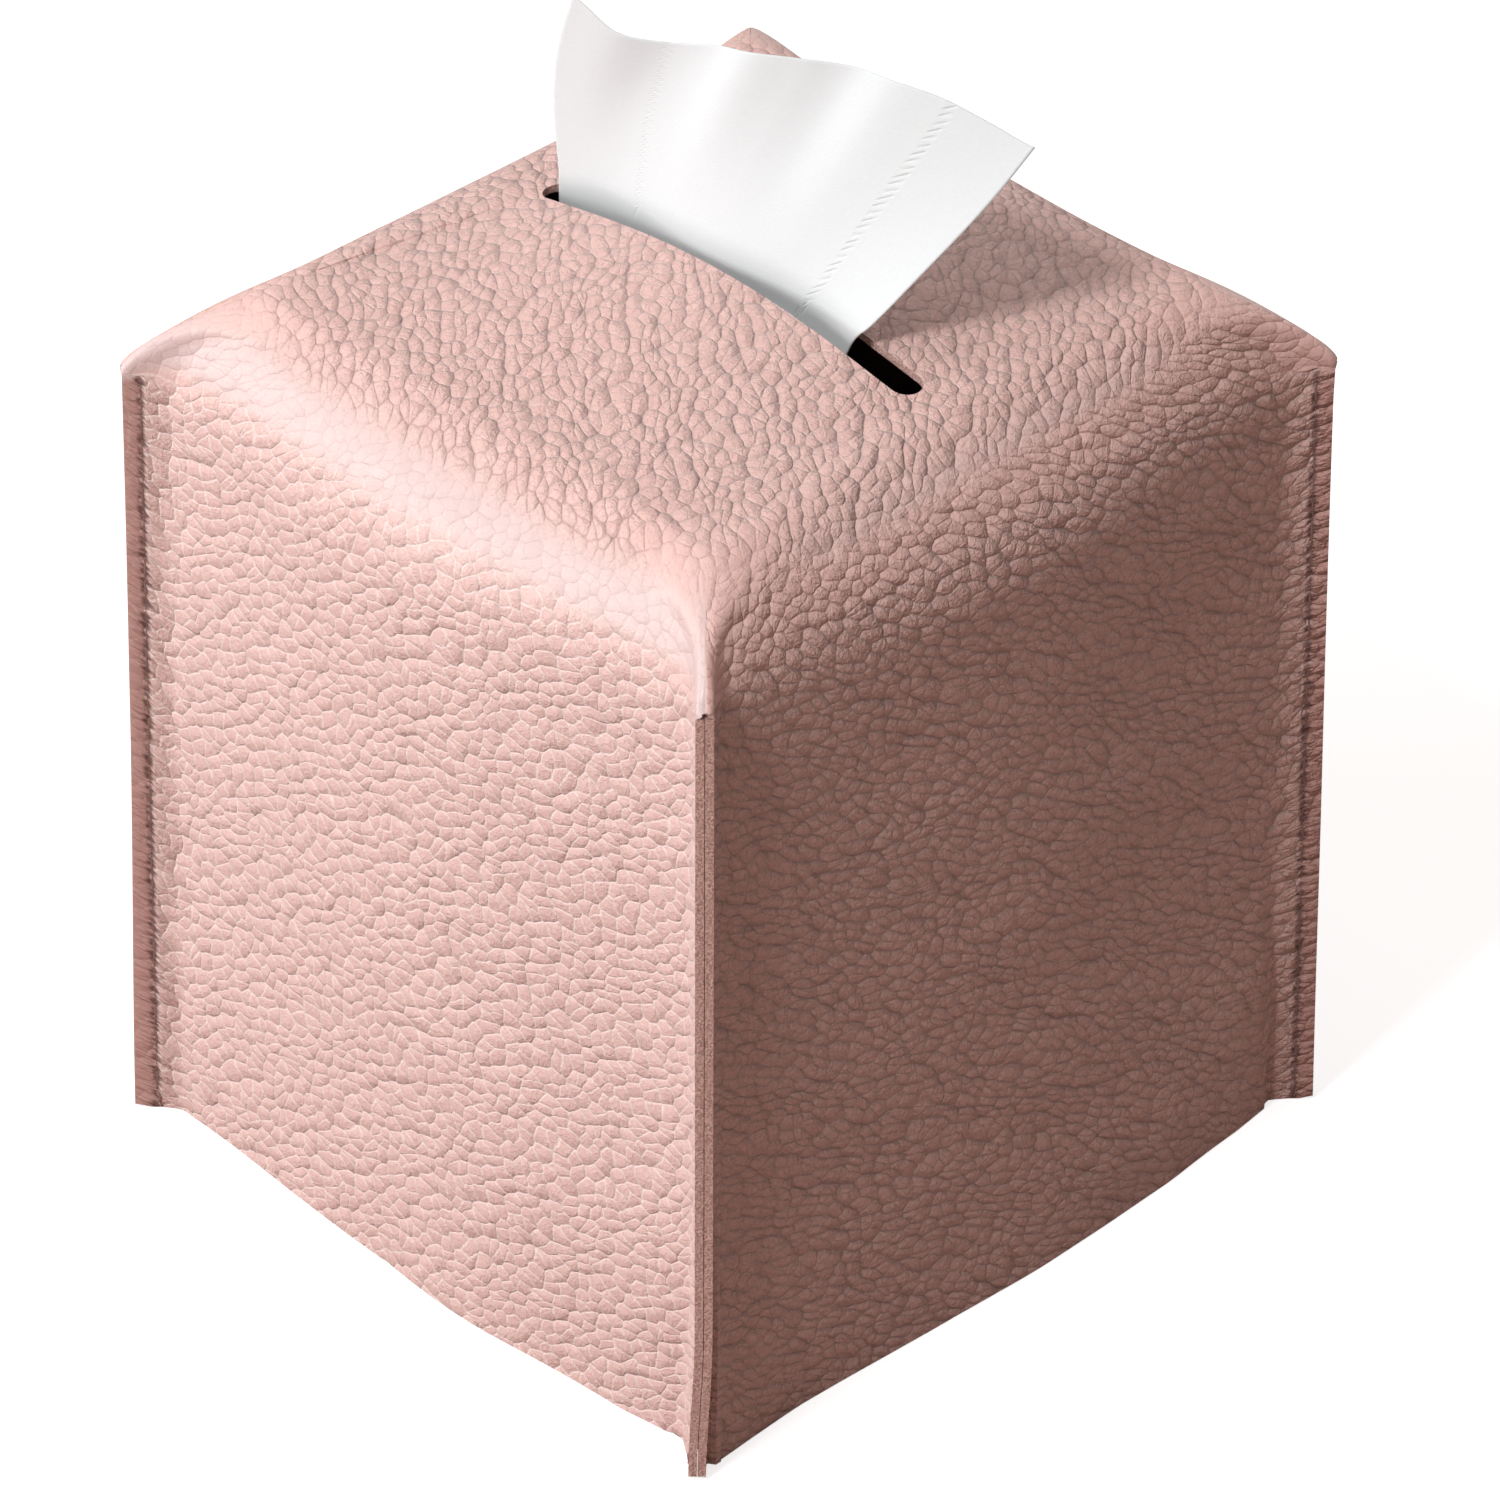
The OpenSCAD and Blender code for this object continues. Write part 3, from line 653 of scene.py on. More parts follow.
    def set_normals(self):
        r = self.rings
        along = np.roll(r, -1, 1) - np.roll(r, 1, 1)
        upward = np.gradient(r, axis=0)
        ring_normals = unit(np.cross(along, upward))
        ring_normals[-1] = (0, 0, 1)
        self.strip_normals = []
        for side in range(4):
            cols = slice(side * self.side_n, side * self.side_n + self.n)
            block = np.concatenate([self.strips[side], r[:2, cols]])
            normal = unit(np.cross(np.gradient(block, axis=1), np.gradient(block, axis=0)))
            self.strip_normals.append(normal[:-2])
            ring_normals[0, cols] = normal[-2]
        self.ring_normals = ring_normals

    def seam_gap(self):
        """Distance of each column from its line of stitches, in mm."""
        c = self.c
        return np.where(self.q < 1, (1 - self.q) * c.seam_margin,
                        np.minimum(self.q - 1, 1) * c.bend_r * np.pi / 4
                        + np.maximum(self.q - 2, 0) * c.half_w) / MM


def cover_mesh(c, th):
    """Vertices, faces, material numbers, places on the sheet and values of the leather."""
    g = CoverGrid(c, th)
    half_t = c.leather_t / 2
    rows, high, n, ring_n = len(g.low_t), len(g.high_t), g.n, g.ring_n
    gap = g.seam_gap()
    # The stitches pull the two layers together, most of all at each needle hole
    z = c.seam_h * (1 + g.low_t)
    phase = (z - th.seam_start) / g.step
    at_hole = 0.5 + 0.5 * np.cos(np.pi * (phase - np.round(phase))) ** 6
    in_seam = smooth(z, 0.5 * th.seam_start, th.seam_start) * (
        1 - smooth(z, c.seam_h - th.seam_stop, c.seam_h))
    press = c.pucker * np.exp(-(gap / PUCKER_WIDTH) ** 2)[None] * (at_hole * in_seam)[:, None]

    def joined(strips, rings):
        return np.concatenate([part.reshape(-1, part.shape[-1]) for part in (*strips, rings)])

    mid, normal = joined(g.strips, g.rings), joined(g.strip_normals, g.ring_normals)
    pressed = np.concatenate([press.reshape(-1)] * 4 + [np.zeros(high * ring_n)])
    count = len(mid)
    verts = np.concatenate([mid + normal * (half_t - pressed)[:, None], mid - normal * half_t])
    verts[:, 2] = np.maximum(verts[:, 2], 0)
    places = {"walls": joined(g.strip_uv, g.ring_uv), "top": joined(g.strip_top_uv, g.ring_top_uv)}
    places = {k: np.concatenate([v, v]) for k, v in places.items()}

    ring = 4 * rows * n + np.arange(high * ring_n).reshape(-1, ring_n)
    faces, mats = [], []

    def add(a, b, d, e, mat):
        block = np.stack([np.ravel(x) for x in (a, b, d, e)], 1)
        faces.append(block)
        mats.append(np.full(len(block), mat))

    def sheet(grid, wrap):
        nxt = np.roll(grid, -1, 1) if wrap else grid[:, 1:]
        here = grid if wrap else grid[:, :-1]
        add(here[:-1], nxt[:-1], nxt[1:], here[1:], FACE)
        add(count + here[:-1], count + here[1:], count + nxt[1:], count + nxt[:-1], BACK)

    sheet(ring, True)
    ring_faces = 2 * (high - 1) * ring_n
    for side in range(4):
        first = side * g.side_n
        own = (side * rows * n) + np.arange(rows * n).reshape(rows, n)
        grid = np.concatenate([own, ring[:1, first:first + n]])
        sheet(grid, False)
        # Hem and the cut edges of the fins
        add(grid[0, :-1], count + grid[0, :-1], count + grid[0, 1:], grid[0, 1:], CUT)
        add(grid[:-1, 0], grid[1:, 0], count + grid[1:, 0], count + grid[:-1, 0], CUT)
        add(grid[:-1, -1], count + grid[:-1, -1], count + grid[1:, -1], grid[1:, -1], CUT)
        # Lower end of the fold over the fin
        nose = ring[0, (first + n - 1 + np.arange(g.side_n - n + 2)) % ring_n]
        add(nose[:-1], count + nose[:-1], count + nose[1:], nose[1:], CUT)
        half = len(nose) // 2
        add(count + nose[:half], count + nose[::-1][:half], count + nose[::-1][1:half + 1],
            count + nose[1:half + 1], CUT)
    add(ring[-1], np.roll(ring[-1], -1), count + np.roll(ring[-1], -1), count + ring[-1], CUT)
    faces, mats = np.concatenate(faces), np.concatenate(mats)

    loops = {k: v[faces] / MM for k, v in places.items()}
    for side in range(4):
        ridge = side * g.side_n + n + g.NOSE
        swap = dict(zip(ring[:, ridge].tolist(), g.after_ridge[side] / MM))
        swap.update({count + k: v for k, v in swap.items()})
        after = np.concatenate([np.arange(high - 1) * ring_n + ridge + k * (high - 1) * ring_n
                                for k in (0, 1)])
        for f in after[after < ring_faces]:
            for k, vert in enumerate(faces[f].tolist()):
                if vert in swap:
                    loops["walls"][f, k] = swap[vert]

    high_t = np.repeat(g.high_t, ring_n)
    # Over the fins the walls' grain runs farther up, and the ridge itself is drawn smooth
    off_ridge = np.full((high, ring_n), 1.0)
    for side in range(4):
        cols, reach = g.corner(side)
        s = gone(g.rings[:, cols], 1)
        off_ridge[:, cols] = np.abs(s - s[:, reach:reach + 1])
    corner = np.exp(-(off_ridge.ravel() / CORNER_WIDTH) ** 2)
    tight = np.exp(-(off_ridge.ravel() / TIGHT_WIDTH) ** 2) * (1 - smooth(high_t, 0.3, 0.7))
    wall = np.concatenate([np.ones(4 * rows * n),
                           1 - smooth((high_t - 0.4 - 0.32 * corner) / (1 + corner), -0.1, 0.1)])
    ring_side = np.tile(np.where(np.arange(ring_n) % g.side_n > n + g.NOSE,
                                 np.arange(ring_n) // g.side_n + 1,
                                 np.arange(ring_n) // g.side_n), high)
    side_no = np.concatenate([np.repeat(np.arange(4), rows * n), ring_side])
    # Above the seams' tops that distance grows fast, so that the groove ends there
    ring_gap = np.concatenate([np.concatenate([gap, np.zeros(g.side_n - n)])] * 4)
    gaps = np.concatenate([np.tile(gap, 4 * rows), np.tile(ring_gap, high)
                           + 60 * np.maximum(0, high_t)])
    fin = np.concatenate([np.tile(1 - smooth(g.q, *FIN_Q), 4 * rows), np.zeros(high * ring_n)])
    soft = 0.5 * smooth(high_t, 0, 0.2) * (1 - smooth(high_t, 0.3, 0.8))
    calm = np.maximum(np.maximum(soft, tight), 0.85 * corner * (1 - smooth(high_t, 0.7, 1.3)))
    soft = np.maximum(soft, 0.6 * tight)
    below = np.zeros(4 * rows * n)
    values = {"front_grain": wall * (side_no % 2 == 0), "side_grain": wall * (side_no % 2 == 1),
              "seam_gap": gaps, "fin": fin, "soft_edge": np.concatenate([below, soft]),
              "calm": np.concatenate([below, calm])}
    return verts, faces, mats, loops, {k: np.concatenate([v, v]) for k, v in values.items()}, g


def make_object(name, verts, faces, mats=None, places=None, values=None, materials=()):
    """A mesh object with smooth shading, materials, UV maps for each face's corners and values."""
    mesh = bpy.data.meshes.new(name)
    mesh.from_pydata(np.asarray(verts).tolist(), [],
                     faces.tolist() if isinstance(faces, np.ndarray) else faces)
    for material in materials:
        mesh.materials.append(material)
    if mats is not None:
        mesh.polygons.foreach_set("material_index", np.asarray(mats, np.int32))
    for key, place in (places or {}).items():
        layer = mesh.uv_layers.new(name=key)
        layer.data.foreach_set("uv", np.asarray(place, np.float32).ravel())
    for key, value in (values or {}).items():
        layer = mesh.attributes.new(key, "FLOAT", "POINT")
        layer.data.foreach_set("value", np.asarray(value, np.float32))
    bm = bmesh.new()
    bm.from_mesh(mesh)
    bmesh.ops.recalc_face_normals(bm, faces=bm.faces)
    bm.to_mesh(mesh)
    bm.free()
    mesh.polygons.foreach_set("use_smooth", np.ones(len(mesh.polygons), bool))
    mesh.update()
    obj = bpy.data.objects.new(name, mesh)
    bpy.context.scene.collection.objects.link(obj)
    return obj


# Materials

# Inputs whose names repeat go by number. In a Mix, 0 is the share, 2 and 3 are its two numbers
# and 6 and 7 its two colours. A MapRange reads the range 1 to 2 and gives the range 3 to 4.
STEPPED = {"interpolation_type": "SMOOTHSTEP"}
COLOURED = {"data_type": "RGBA"}
FLAT_NOISE = {"noise_dimensions": "2D"}


def add_node(tree, kind, inputs=None, **settings):
    """Adds a node with its settings. An input is a value, a socket, or a node to link from."""
    node = tree.nodes.new("ShaderNode" + kind)
    for key, value in settings.items():
        setattr(node, key, value)
    for key, value in (inputs or {}).items():
        if isinstance(value, bpy.types.Node):
            value = next(socket for socket in value.outputs if socket.enabled)
        if isinstance(value, bpy.types.NodeSocket):
            tree.links.new(value, node.inputs[key])
        else:
            node.inputs[key].default_value = value
    return node


def new_tree(owner):
    """Empties the node tree of a material or world, and gives add_node for that tree."""
    owner.use_nodes = True
    owner.node_tree.nodes.clear()
    return partial(add_node, owner.node_tree)


def new_material(name):
    material = bpy.data.materials.new(name)
    return material, new_tree(material)


def tinted(colour, *shares):
    """A colour with its red, green and blue multiplied by shares."""
    return [min(1, x * k) for x, k in zip(colour, shares)] + [1]


def pebbles(add, place, length, width, angle, shift):
    """Pebbled grain: low domes with thin creases between them, as embossed leather has.

    length and width are a pebble's size in mm, angle the way it lies in degrees. Gives the
    height, the distance from the nearest crease as a share of a pebble, and a number for
    each pebble.
    """
    at = add("Mapping", {"Vector": place, "Location": shift, "Scale": (length, width, 1),
             "Rotation": (0, 0, math.radians(angle))}, vector_type="TEXTURE")
    # Slow waves bend the rows of pebbles, and quick ones each pebble's outline
    for scale, amount in ((0.2, 1.5), (1.1, 0.28)):
        noise = add("TexNoise", {"Vector": at, "Scale": scale, "Detail": 1.0}, **FLAT_NOISE)
        push = add("VectorMath", {0: noise.outputs["Color"], 1: (0.5, 0.5, 0.5)},
                   operation="SUBTRACT")
        push = add("VectorMath", {0: push, "Scale": amount}, operation="SCALE")
        at = add("VectorMath", {0: at, 1: push}, operation="ADD")
    pebble, edge = [add("TexVoronoi", {"Vector": at, "Scale": 1.0, "Randomness": 0.9},
                        feature=feature, voronoi_dimensions="2D")
                    for feature in ("F1", "DISTANCE_TO_EDGE")]
    square = add("Math", {0: pebble, 1: 2.0}, operation="POWER")
    dome = add("Math", {0: square, 1: -1.5, 2: 0.75}, operation="MULTIPLY_ADD")
    flank = add("MapRange", {"Value": edge, 1: 0.0, 2: 0.12, 3: 0.0, 4: 0.1}, **STEPPED)
    height = add("Math", {0: flank, 1: dome}, operation="ADD")
    lot = add("SeparateColor", {"Color": pebble.outputs["Color"]})
    height = add("Math", {0: lot, 1: 0.12, 2: height}, operation="MULTIPLY_ADD")
    return height, edge, lot


def leather_skin(look):
    """Drum-pressed PU leather under a clear coat: a soft gloss broken up by its grain."""
    material, add = new_material("pebbled_pu_leather")
    walls, over = add("UVMap", uv_map="walls"), add("UVMap", uv_map="top")
    solid = add("TexCoord").outputs["Object"]
    masks = {name: add("Attribute", attribute_name=name).outputs["Fac"]
             for name in ("front_grain", "side_grain", "seam_gap", "fin", "soft_edge", "calm")}
    mm = look.pebble / MM
    # Over the top the pebbles are drawn out along one diagonal. On the front and back they
    # are nearly round, and on the other two walls they are long, low and slanting.
    kinds = [pebbles(add, over, 1.38 * mm, 0.92 * mm, -45, (3.1, 7.7, 0)),
             pebbles(add, walls, 1.3 * mm, 1.0 * mm, -26, (40.3, 11.9, 0)),
             pebbles(add, walls, 1.5 * mm, 0.85 * mm, 27, (77.7, 31.1, 0))]
    height, edge, lot = kinds[0]
    for mask, kind in ((masks["front_grain"], kinds[1]), (masks["side_grain"], kinds[2])):
        height, edge, lot = [add("Mix", {0: mask, 2: old, 3: new})
                             for old, new in zip((height, edge, lot), kind)]
    # Fine wrinkles within the pebbles, and short ticks where they cross
    fine = add("TexNoise", {"Vector": solid, "Scale": 1500.0, "Detail": 3.0, "Roughness": 0.6})
    height = add("Math", {0: fine, 1: 0.5, 2: height}, operation="MULTIPLY_ADD")
    bent = add("VectorMath", {0: fine.outputs["Color"], "Scale": 0.7 * MM}, operation="SCALE")
    bent = add("VectorMath", {0: solid, 1: bent}, operation="ADD")
    tick = add("TexVoronoi", {"Vector": bent, "Scale": 780.0}, feature="DISTANCE_TO_EDGE",
               voronoi_dimensions="3D")
    tick = add("MapRange", {"Value": tick, 1: 0.0, 2: 0.12, 3: 0.1, 4: 0.0}, **STEPPED)
    height = add("Math", {0: tick, 1: height}, operation="ADD")
    # Where the leather is stretched over the soft edge and the fins its grain is flatter,
    # and over the top and on the shaded walls it is deeper
    deep, flat = 1.4, add("Math", {0: masks["calm"], 1: -0.85, 2: 1.0}, operation="MULTIPLY_ADD")
    for mask, share in (("front_grain", -0.6), ("side_grain", 0.5), ("fin", -0.5),
                        ("soft_edge", -0.45)):
        deep = add("Math", {0: masks[mask], 1: share, 2: deep}, operation="MULTIPLY_ADD")
    for share in (deep, flat):
        height = add("Math", {0: height, 1: share}, operation="MULTIPLY")
    # Creases that run in to the stitches, on the wall and slanting over the fin
    slant = add("Mapping", {"Vector": walls, "Rotation": (0, 0, 0.2), "Scale": (4.5, 0.9, 1)},
                vector_type="TEXTURE")
    drawn = add("TexNoise", {"Vector": slant, "Scale": 1.0, "Detail": 2.0}, **FLAT_NOISE)
    near = add("MapRange", {"Value": masks["seam_gap"], 1: 0.5, 2: 5.0, 3: 1.3, 4: 0.0}, **STEPPED)
    height = add("Math", {0: drawn, 1: near, 2: height}, operation="MULTIPLY_ADD")
    # The line of stitches lies in a groove
    groove = add("MapRange", {"Value": masks["seam_gap"], 1: 0.1, 2: 0.9, 3: 1.0, 4: 0.0},
                 **STEPPED)
    height = add("Math", {0: groove, 1: -0.6, 2: height}, operation="MULTIPLY_ADD")
    bump = add("Bump", {"Height": height, "Strength": 1.0, "Distance": look.relief})
    # Each pebble has a little of its own colour
    skin, crease = list(look.skin), list(look.crease)
    colour = add("Mix", {0: lot, 6: tinted(skin, 0.97, 0.95, 0.95),
                 7: tinted(skin, 1.02, 1.03, 1.03)}, **COLOURED)
    # Over the soft edge the skin is painted paler, partly as stretched leather is paler and partly
    # as a painted highlight; the front and back walls get a little of this painted sheen, the side
    # walls less
    thin = 0.0
    for mask, share in (("soft_edge", 0.7), ("front_grain", 0.2), ("side_grain", -0.45)):
        thin = add("Math", {0: masks[mask], 1: share, 2: thin}, operation="MULTIPLY_ADD",
                   use_clamp=True)
    colour = add("Mix", {0: thin, 6: colour, 7: tinted(look.stretched_and_lit, 0.76, 0.84, 0.91)},
                 **COLOURED)
    # Painted shade: the fins are darker and redder, mixed towards the crease colour
    red = add("Math", {0: masks["fin"], 1: 0.55}, operation="MULTIPLY")
    colour = add("Mix", {0: red, 6: colour, 7: crease}, **COLOURED)
    # Painted highlight: each pebble is pale on its rim, most on the front and back walls
    rim = add("MapRange", {"Value": edge, 1: 0.02, 2: 0.12, 3: 1.0, 4: 0.0}, **STEPPED)
    pale = add("Math", {0: masks["front_grain"], 1: 0.5, 2: 0.3}, operation="MULTIPLY_ADD")
    for mask in ("fin", "calm", "soft_edge"):
        pale = add("Math", {0: masks[mask], 1: -0.7, 2: pale}, operation="MULTIPLY_ADD",
                   use_clamp=True)
    # Painted shade: the crease itself is darkened towards the crease colour, less on the front and
    # back walls and more over the soft edge
    line = add("MapRange", {"Value": edge, 1: 0.0, 2: 0.05, 3: 1.0, 4: 0.0}, **STEPPED)
    dark = 0.35
    for mask, share in (("front_grain", -0.3), ("soft_edge", 0.4)):
        dark = add("Math", {0: masks[mask], 1: share, 2: dark}, operation="MULTIPLY_ADD")
    for place, amount, tint in ((rim, pale, tinted(look.stretched_and_lit, 1.13, 1.15, 1.15)),
                                (line, dark, crease)):
        amount = add("Math", {0: place, 1: amount}, operation="MULTIPLY")
        colour = add("Mix", {0: amount, 6: colour, 7: tint}, **COLOURED)
    # The seam is drawn in more at some stitches than at others, and there its groove is painted
    # dark: painted shade
    ragged = add("Math", {0: drawn, 1: 2.6, 2: -0.9}, operation="MULTIPLY_ADD")
    ragged = add("Math", {0: ragged, 1: masks["seam_gap"]}, operation="SUBTRACT")
    seam_shade = add("MapRange", {"Value": ragged, 1: -0.45, 2: 0.45, 3: 0.0, 4: 0.9}, **STEPPED)
    colour = add("Mix", {0: seam_shade, 6: colour, 7: tinted(crease, 0.35, 0.3, 0.3)}, **COLOURED)
    rough = add("MapRange", {"Value": fine, 1: 0.3, 2: 0.7, 3: 0.44, 4: 0.54})
    shader = add("BsdfPrincipled", {
        "Base Color": colour, "Normal": bump, "Roughness": rough, "IOR": 1.5,
        "Specular IOR Level": 0.5, "Coat Weight": 0.2, "Coat Roughness": 0.26,
        "Sheen Weight": 0.15, "Sheen Roughness": 0.45})
    add("OutputMaterial", {"Surface": shader})
    return material


def cut_edge(look):
    """Raw die-cut edge: short fibres of the base cloth, speckled light and dark."""
    material, add = new_material("raw_die_cut_edge")
    place, base = add("TexCoord").outputs["Object"], list(look.edge)
    fibres = add("TexNoise", {"Vector": place, "Scale": 2600.0, "Detail": 3.0, "Roughness": 0.7})
    clumps = add("TexNoise", {"Vector": place, "Scale": 600.0, "Detail": 2.0})
    speck = add("MapRange", {"Value": fibres, 1: 0.38, 2: 0.62, 3: 0.0, 4: 1.0}, **STEPPED)
    colour = add("Mix", {0: speck, 6: tinted(base, 0.5, 0.42, 0.4),
                 7: tinted(base, 1.7, 1.8, 1.75)}, **COLOURED)
    calm = add("MapRange", {"Value": clumps, 1: 0.3, 2: 0.7, 3: 0.2, 4: 0.7})
    colour = add("Mix", {0: calm, 6: colour, 7: base}, **COLOURED)
    bump = add("Bump", {"Height": fibres, "Strength": 1.0, "Distance": 0.3 * MM})
    shader = add("BsdfPrincipled", {"Base Color": colour, "Normal": bump, "Roughness": 0.9})
    add("OutputMaterial", {"Surface": shader})
    return material


def brushed_backing(look):
    """Brushed microfibre on the inside of the leather: a short nap in soft clouds."""
    material, add = new_material("brushed_microfibre_backing")
    place, base = add("TexCoord").outputs["Object"], list(look.backing)
    nap = add("TexNoise", {"Vector": place, "Scale": 3000.0, "Detail": 3.0, "Roughness": 0.7})
    clouds = add("TexNoise", {"Vector": place, "Scale": 110.0, "Detail": 3.0})
    lay = add("MapRange", {"Value": clouds, 1: 0.35, 2: 0.65, 3: 0.0, 4: 1.0}, **STEPPED)
    colour = add("Mix", {0: lay, 6: tinted(base, 0.8, 0.78, 0.78), 7: base}, **COLOURED)
    tuft = add("MapRange", {"Value": nap, 1: 0.35, 2: 0.7, 3: 0.0, 4: 0.4})
    colour = add("Mix", {0: tuft, 6: colour, 7: tinted(base, 0.7, 0.67, 0.66)}, **COLOURED)
    bump = add("Bump", {"Height": nap, "Strength": 0.6, "Distance": 0.15 * MM})
    shader = add("BsdfPrincipled", {"Base Color": colour, "Normal": bump, "Roughness": 0.95,
                                    "Sheen Weight": 0.3})
    add("OutputMaterial", {"Surface": shader})
    return material


def twisted_thread(look):
    """Three-ply twisted polyester thread: slanting plies with a faint gloss."""
    material, add = new_material("twisted_polyester_thread")
    base = list(look.thread)
    # u goes once round the thread and v along it in mm; the plies make a turn in 1.2 mm
    place = add("SeparateXYZ", {0: add("UVMap", uv_map="thread")})
    turn = add("Math", {0: place.outputs[0], 1: 3.0}, operation="MULTIPLY")
    turn = add("Math", {0: place.outputs[1], 1: 2.5, 2: turn}, operation="MULTIPLY_ADD")
    ply = add("Math", {0: turn, 1: 0.5}, operation="PINGPONG")
    round_ply = add("MapRange", {"Value": ply, 1: 0.0, 2: 0.25, 3: 0.0, 4: 1.0}, **STEPPED)
    fuzz = add("TexNoise", {"Vector": add("TexCoord").outputs["Object"], "Scale": 4000.0,
                            "Detail": 2.0})
    # Painted shade: each ply is darker towards the grooves between the plies
    colour = add("Mix", {0: round_ply, 6: tinted(base, 0.4, 0.36, 0.36), 7: base}, **COLOURED)
    stray = add("MapRange", {"Value": fuzz, 1: 0.45, 2: 0.7, 3: 0.0, 4: 0.5})
    colour = add("Mix", {0: stray, 6: colour, 7: tinted(base, 1.5, 1.5, 1.5)}, **COLOURED)
    bump = add("Bump", {"Height": round_ply, "Strength": 1.0, "Distance": 0.08 * MM})
    shader = add("BsdfPrincipled", {"Base Color": colour, "Normal": bump, "Roughness": 0.6,
                                    "Sheen Weight": 0.2})
    add("OutputMaterial", {"Surface": shader})
    return material


def tissue_paper(look):
    """Creped two-ply tissue: matt, and thin enough that light comes through it."""
    material, add = new_material("creped_two_ply_tissue")
    white = list(look.tissue)
    drawn = add("Mapping", {"Vector": add("UVMap", uv_map="tissue"), "Scale": (0.5, 1.6, 1)},
                vector_type="POINT")
    crepe = add("TexNoise", {"Vector": drawn, "Scale": 2.2, "Detail": 3.0, "Roughness": 0.6},
                **FLAT_NOISE)
    crimp, rise = [add("Attribute", attribute_name=name).outputs["Fac"]
                   for name in ("crimp", "rise")]
    height = add("Math", {0: crepe, 1: 0.2}, operation="MULTIPLY")
    height = add("Math", {0: crimp, 1: -1.0, 2: height}, operation="MULTIPLY_ADD")
    bump = add("Bump", {"Height": height, "Strength": 0.8, "Distance": 0.2 * MM})
    thin = add("MapRange", {"Value": crepe, 1: 0.3, 2: 0.75, 3: 0.0, 4: 0.16})
    colour = add("Mix", {0: thin, 6: white, 7: tinted(white, 0.82, 0.82, 0.83)}, **COLOURED)
    # Within 5 mm of the level of the top, where the sheet comes out of the slot, it is painted a
    # little grey: painted shade
    away = add("Math", {0: rise}, operation="ABSOLUTE")
    shade = add("MapRange", {"Value": away, 1: 0.0, 2: 5.0, 3: 0.8, 4: 1.0}, **STEPPED)
    colour = add("Mix", {0: 1.0, 6: colour, 7: shade}, blend_type="MULTIPLY", **COLOURED)
    face = add("BsdfPrincipled", {"Base Color": colour, "Normal": bump, "Roughness": 0.85,
                                  "Specular IOR Level": 0.2})
    through = add("BsdfTranslucent", {"Color": colour, "Normal": bump})
    add("OutputMaterial", {"Surface": add("MixShader", {0: 0.15, 1: face, 2: through})})
    return material


# Pieces

def thread_mesh(c, th, g, side, on_side):
    """A round thread on one face of a fin, diving into each needle hole."""
    r = th.thread_d / 2
    face = c.ply_gap / 2 + c.leather_t - 0.8 * c.pucker
    lock, out = 0.55 * th.thread_d, face - 0.1 * th.thread_d
    hole = 0.8 * th.thread_d
    path = [(lock, th.seam_start - 0.3 * hole, 0)]
    for i in range(g.stitches):
        low, high = th.seam_start + i * g.step, th.seam_start + (i + 1) * g.step
        for share, depth in STITCH_SHAPE:
            z = low + 0.35 * hole + (high - low - 0.7 * hole) * share
            sunk = 0.16 * r * (1 + math.sin(1.9 * i + 2.3 * side + on_side))
            path.append((lock + (out - lock) * depth - sunk * depth, z,
                         0.35 * r * math.sin(2.7 * i + side) * math.sin(math.pi * share)))
        path.append((lock, high, 0))
    path[-1] = (lock, path[-1][1] + 0.3 * hole, 0)
    z, up = th.seam_start, out + 0.5 * r
    tail = [(lock, z, 0)]
    tail += [(up + more * r, z - down * r, aside * r) for more, down, aside in TAIL_SHAPE]
    a, b = halves(c, side)
    line = np.array([a, b]) - c.seam_margin * DIAGONAL
    verts, faces, uv = [], [], []
    sides = th.sides
    diag = np.array([*turned(side, DIAGONAL, DIAGONAL), 0])
    for tube in (path, tail):
        p = np.array(tube)
        shift = lean(c, p[:, 1])
        aside = on_side * p[:, :1] + foot_turn(c, side, p[:, 1])[:, None]
        flat = (line[None] + shift[:, None] + aside * np.array([[-1, 1]]) * DIAGONAL
                - p[:, 2:] * DIAGONAL)
        x, y = turned(side, flat[:, 0], flat[:, 1])
        points = np.stack([x, y, p[:, 1]], -1)
        tangent = unit(np.gradient(points, axis=0))
        across = unit(np.cross(tangent, diag))
        other = np.cross(across, tangent)
        length = gone(points)
        first = len(verts)
        for k, point in enumerate(points):
            for j in range(sides):
                turn = 2 * math.pi * j / sides
                verts.append(point + r * (math.cos(turn) * across[k] + math.sin(turn) * other[k]))
        for k in range(len(points) - 1):
            low, high = length[k] / MM, length[k + 1] / MM
            for j in range(sides):
                n = (j + 1) % sides
                faces.append([first + k * sides + j, first + k * sides + n,
                              first + (k + 1) * sides + n, first + (k + 1) * sides + j])
                uv += [(j / sides, low), ((j + 1) / sides, low), ((j + 1) / sides, high),
                       (j / sides, high)]
        for k in (0, len(points) - 1):
            faces.append([first + k * sides + j for j in range(sides)])
            uv += [(j / sides, length[k] / MM) for j in range(sides)]
    return verts, faces, uv


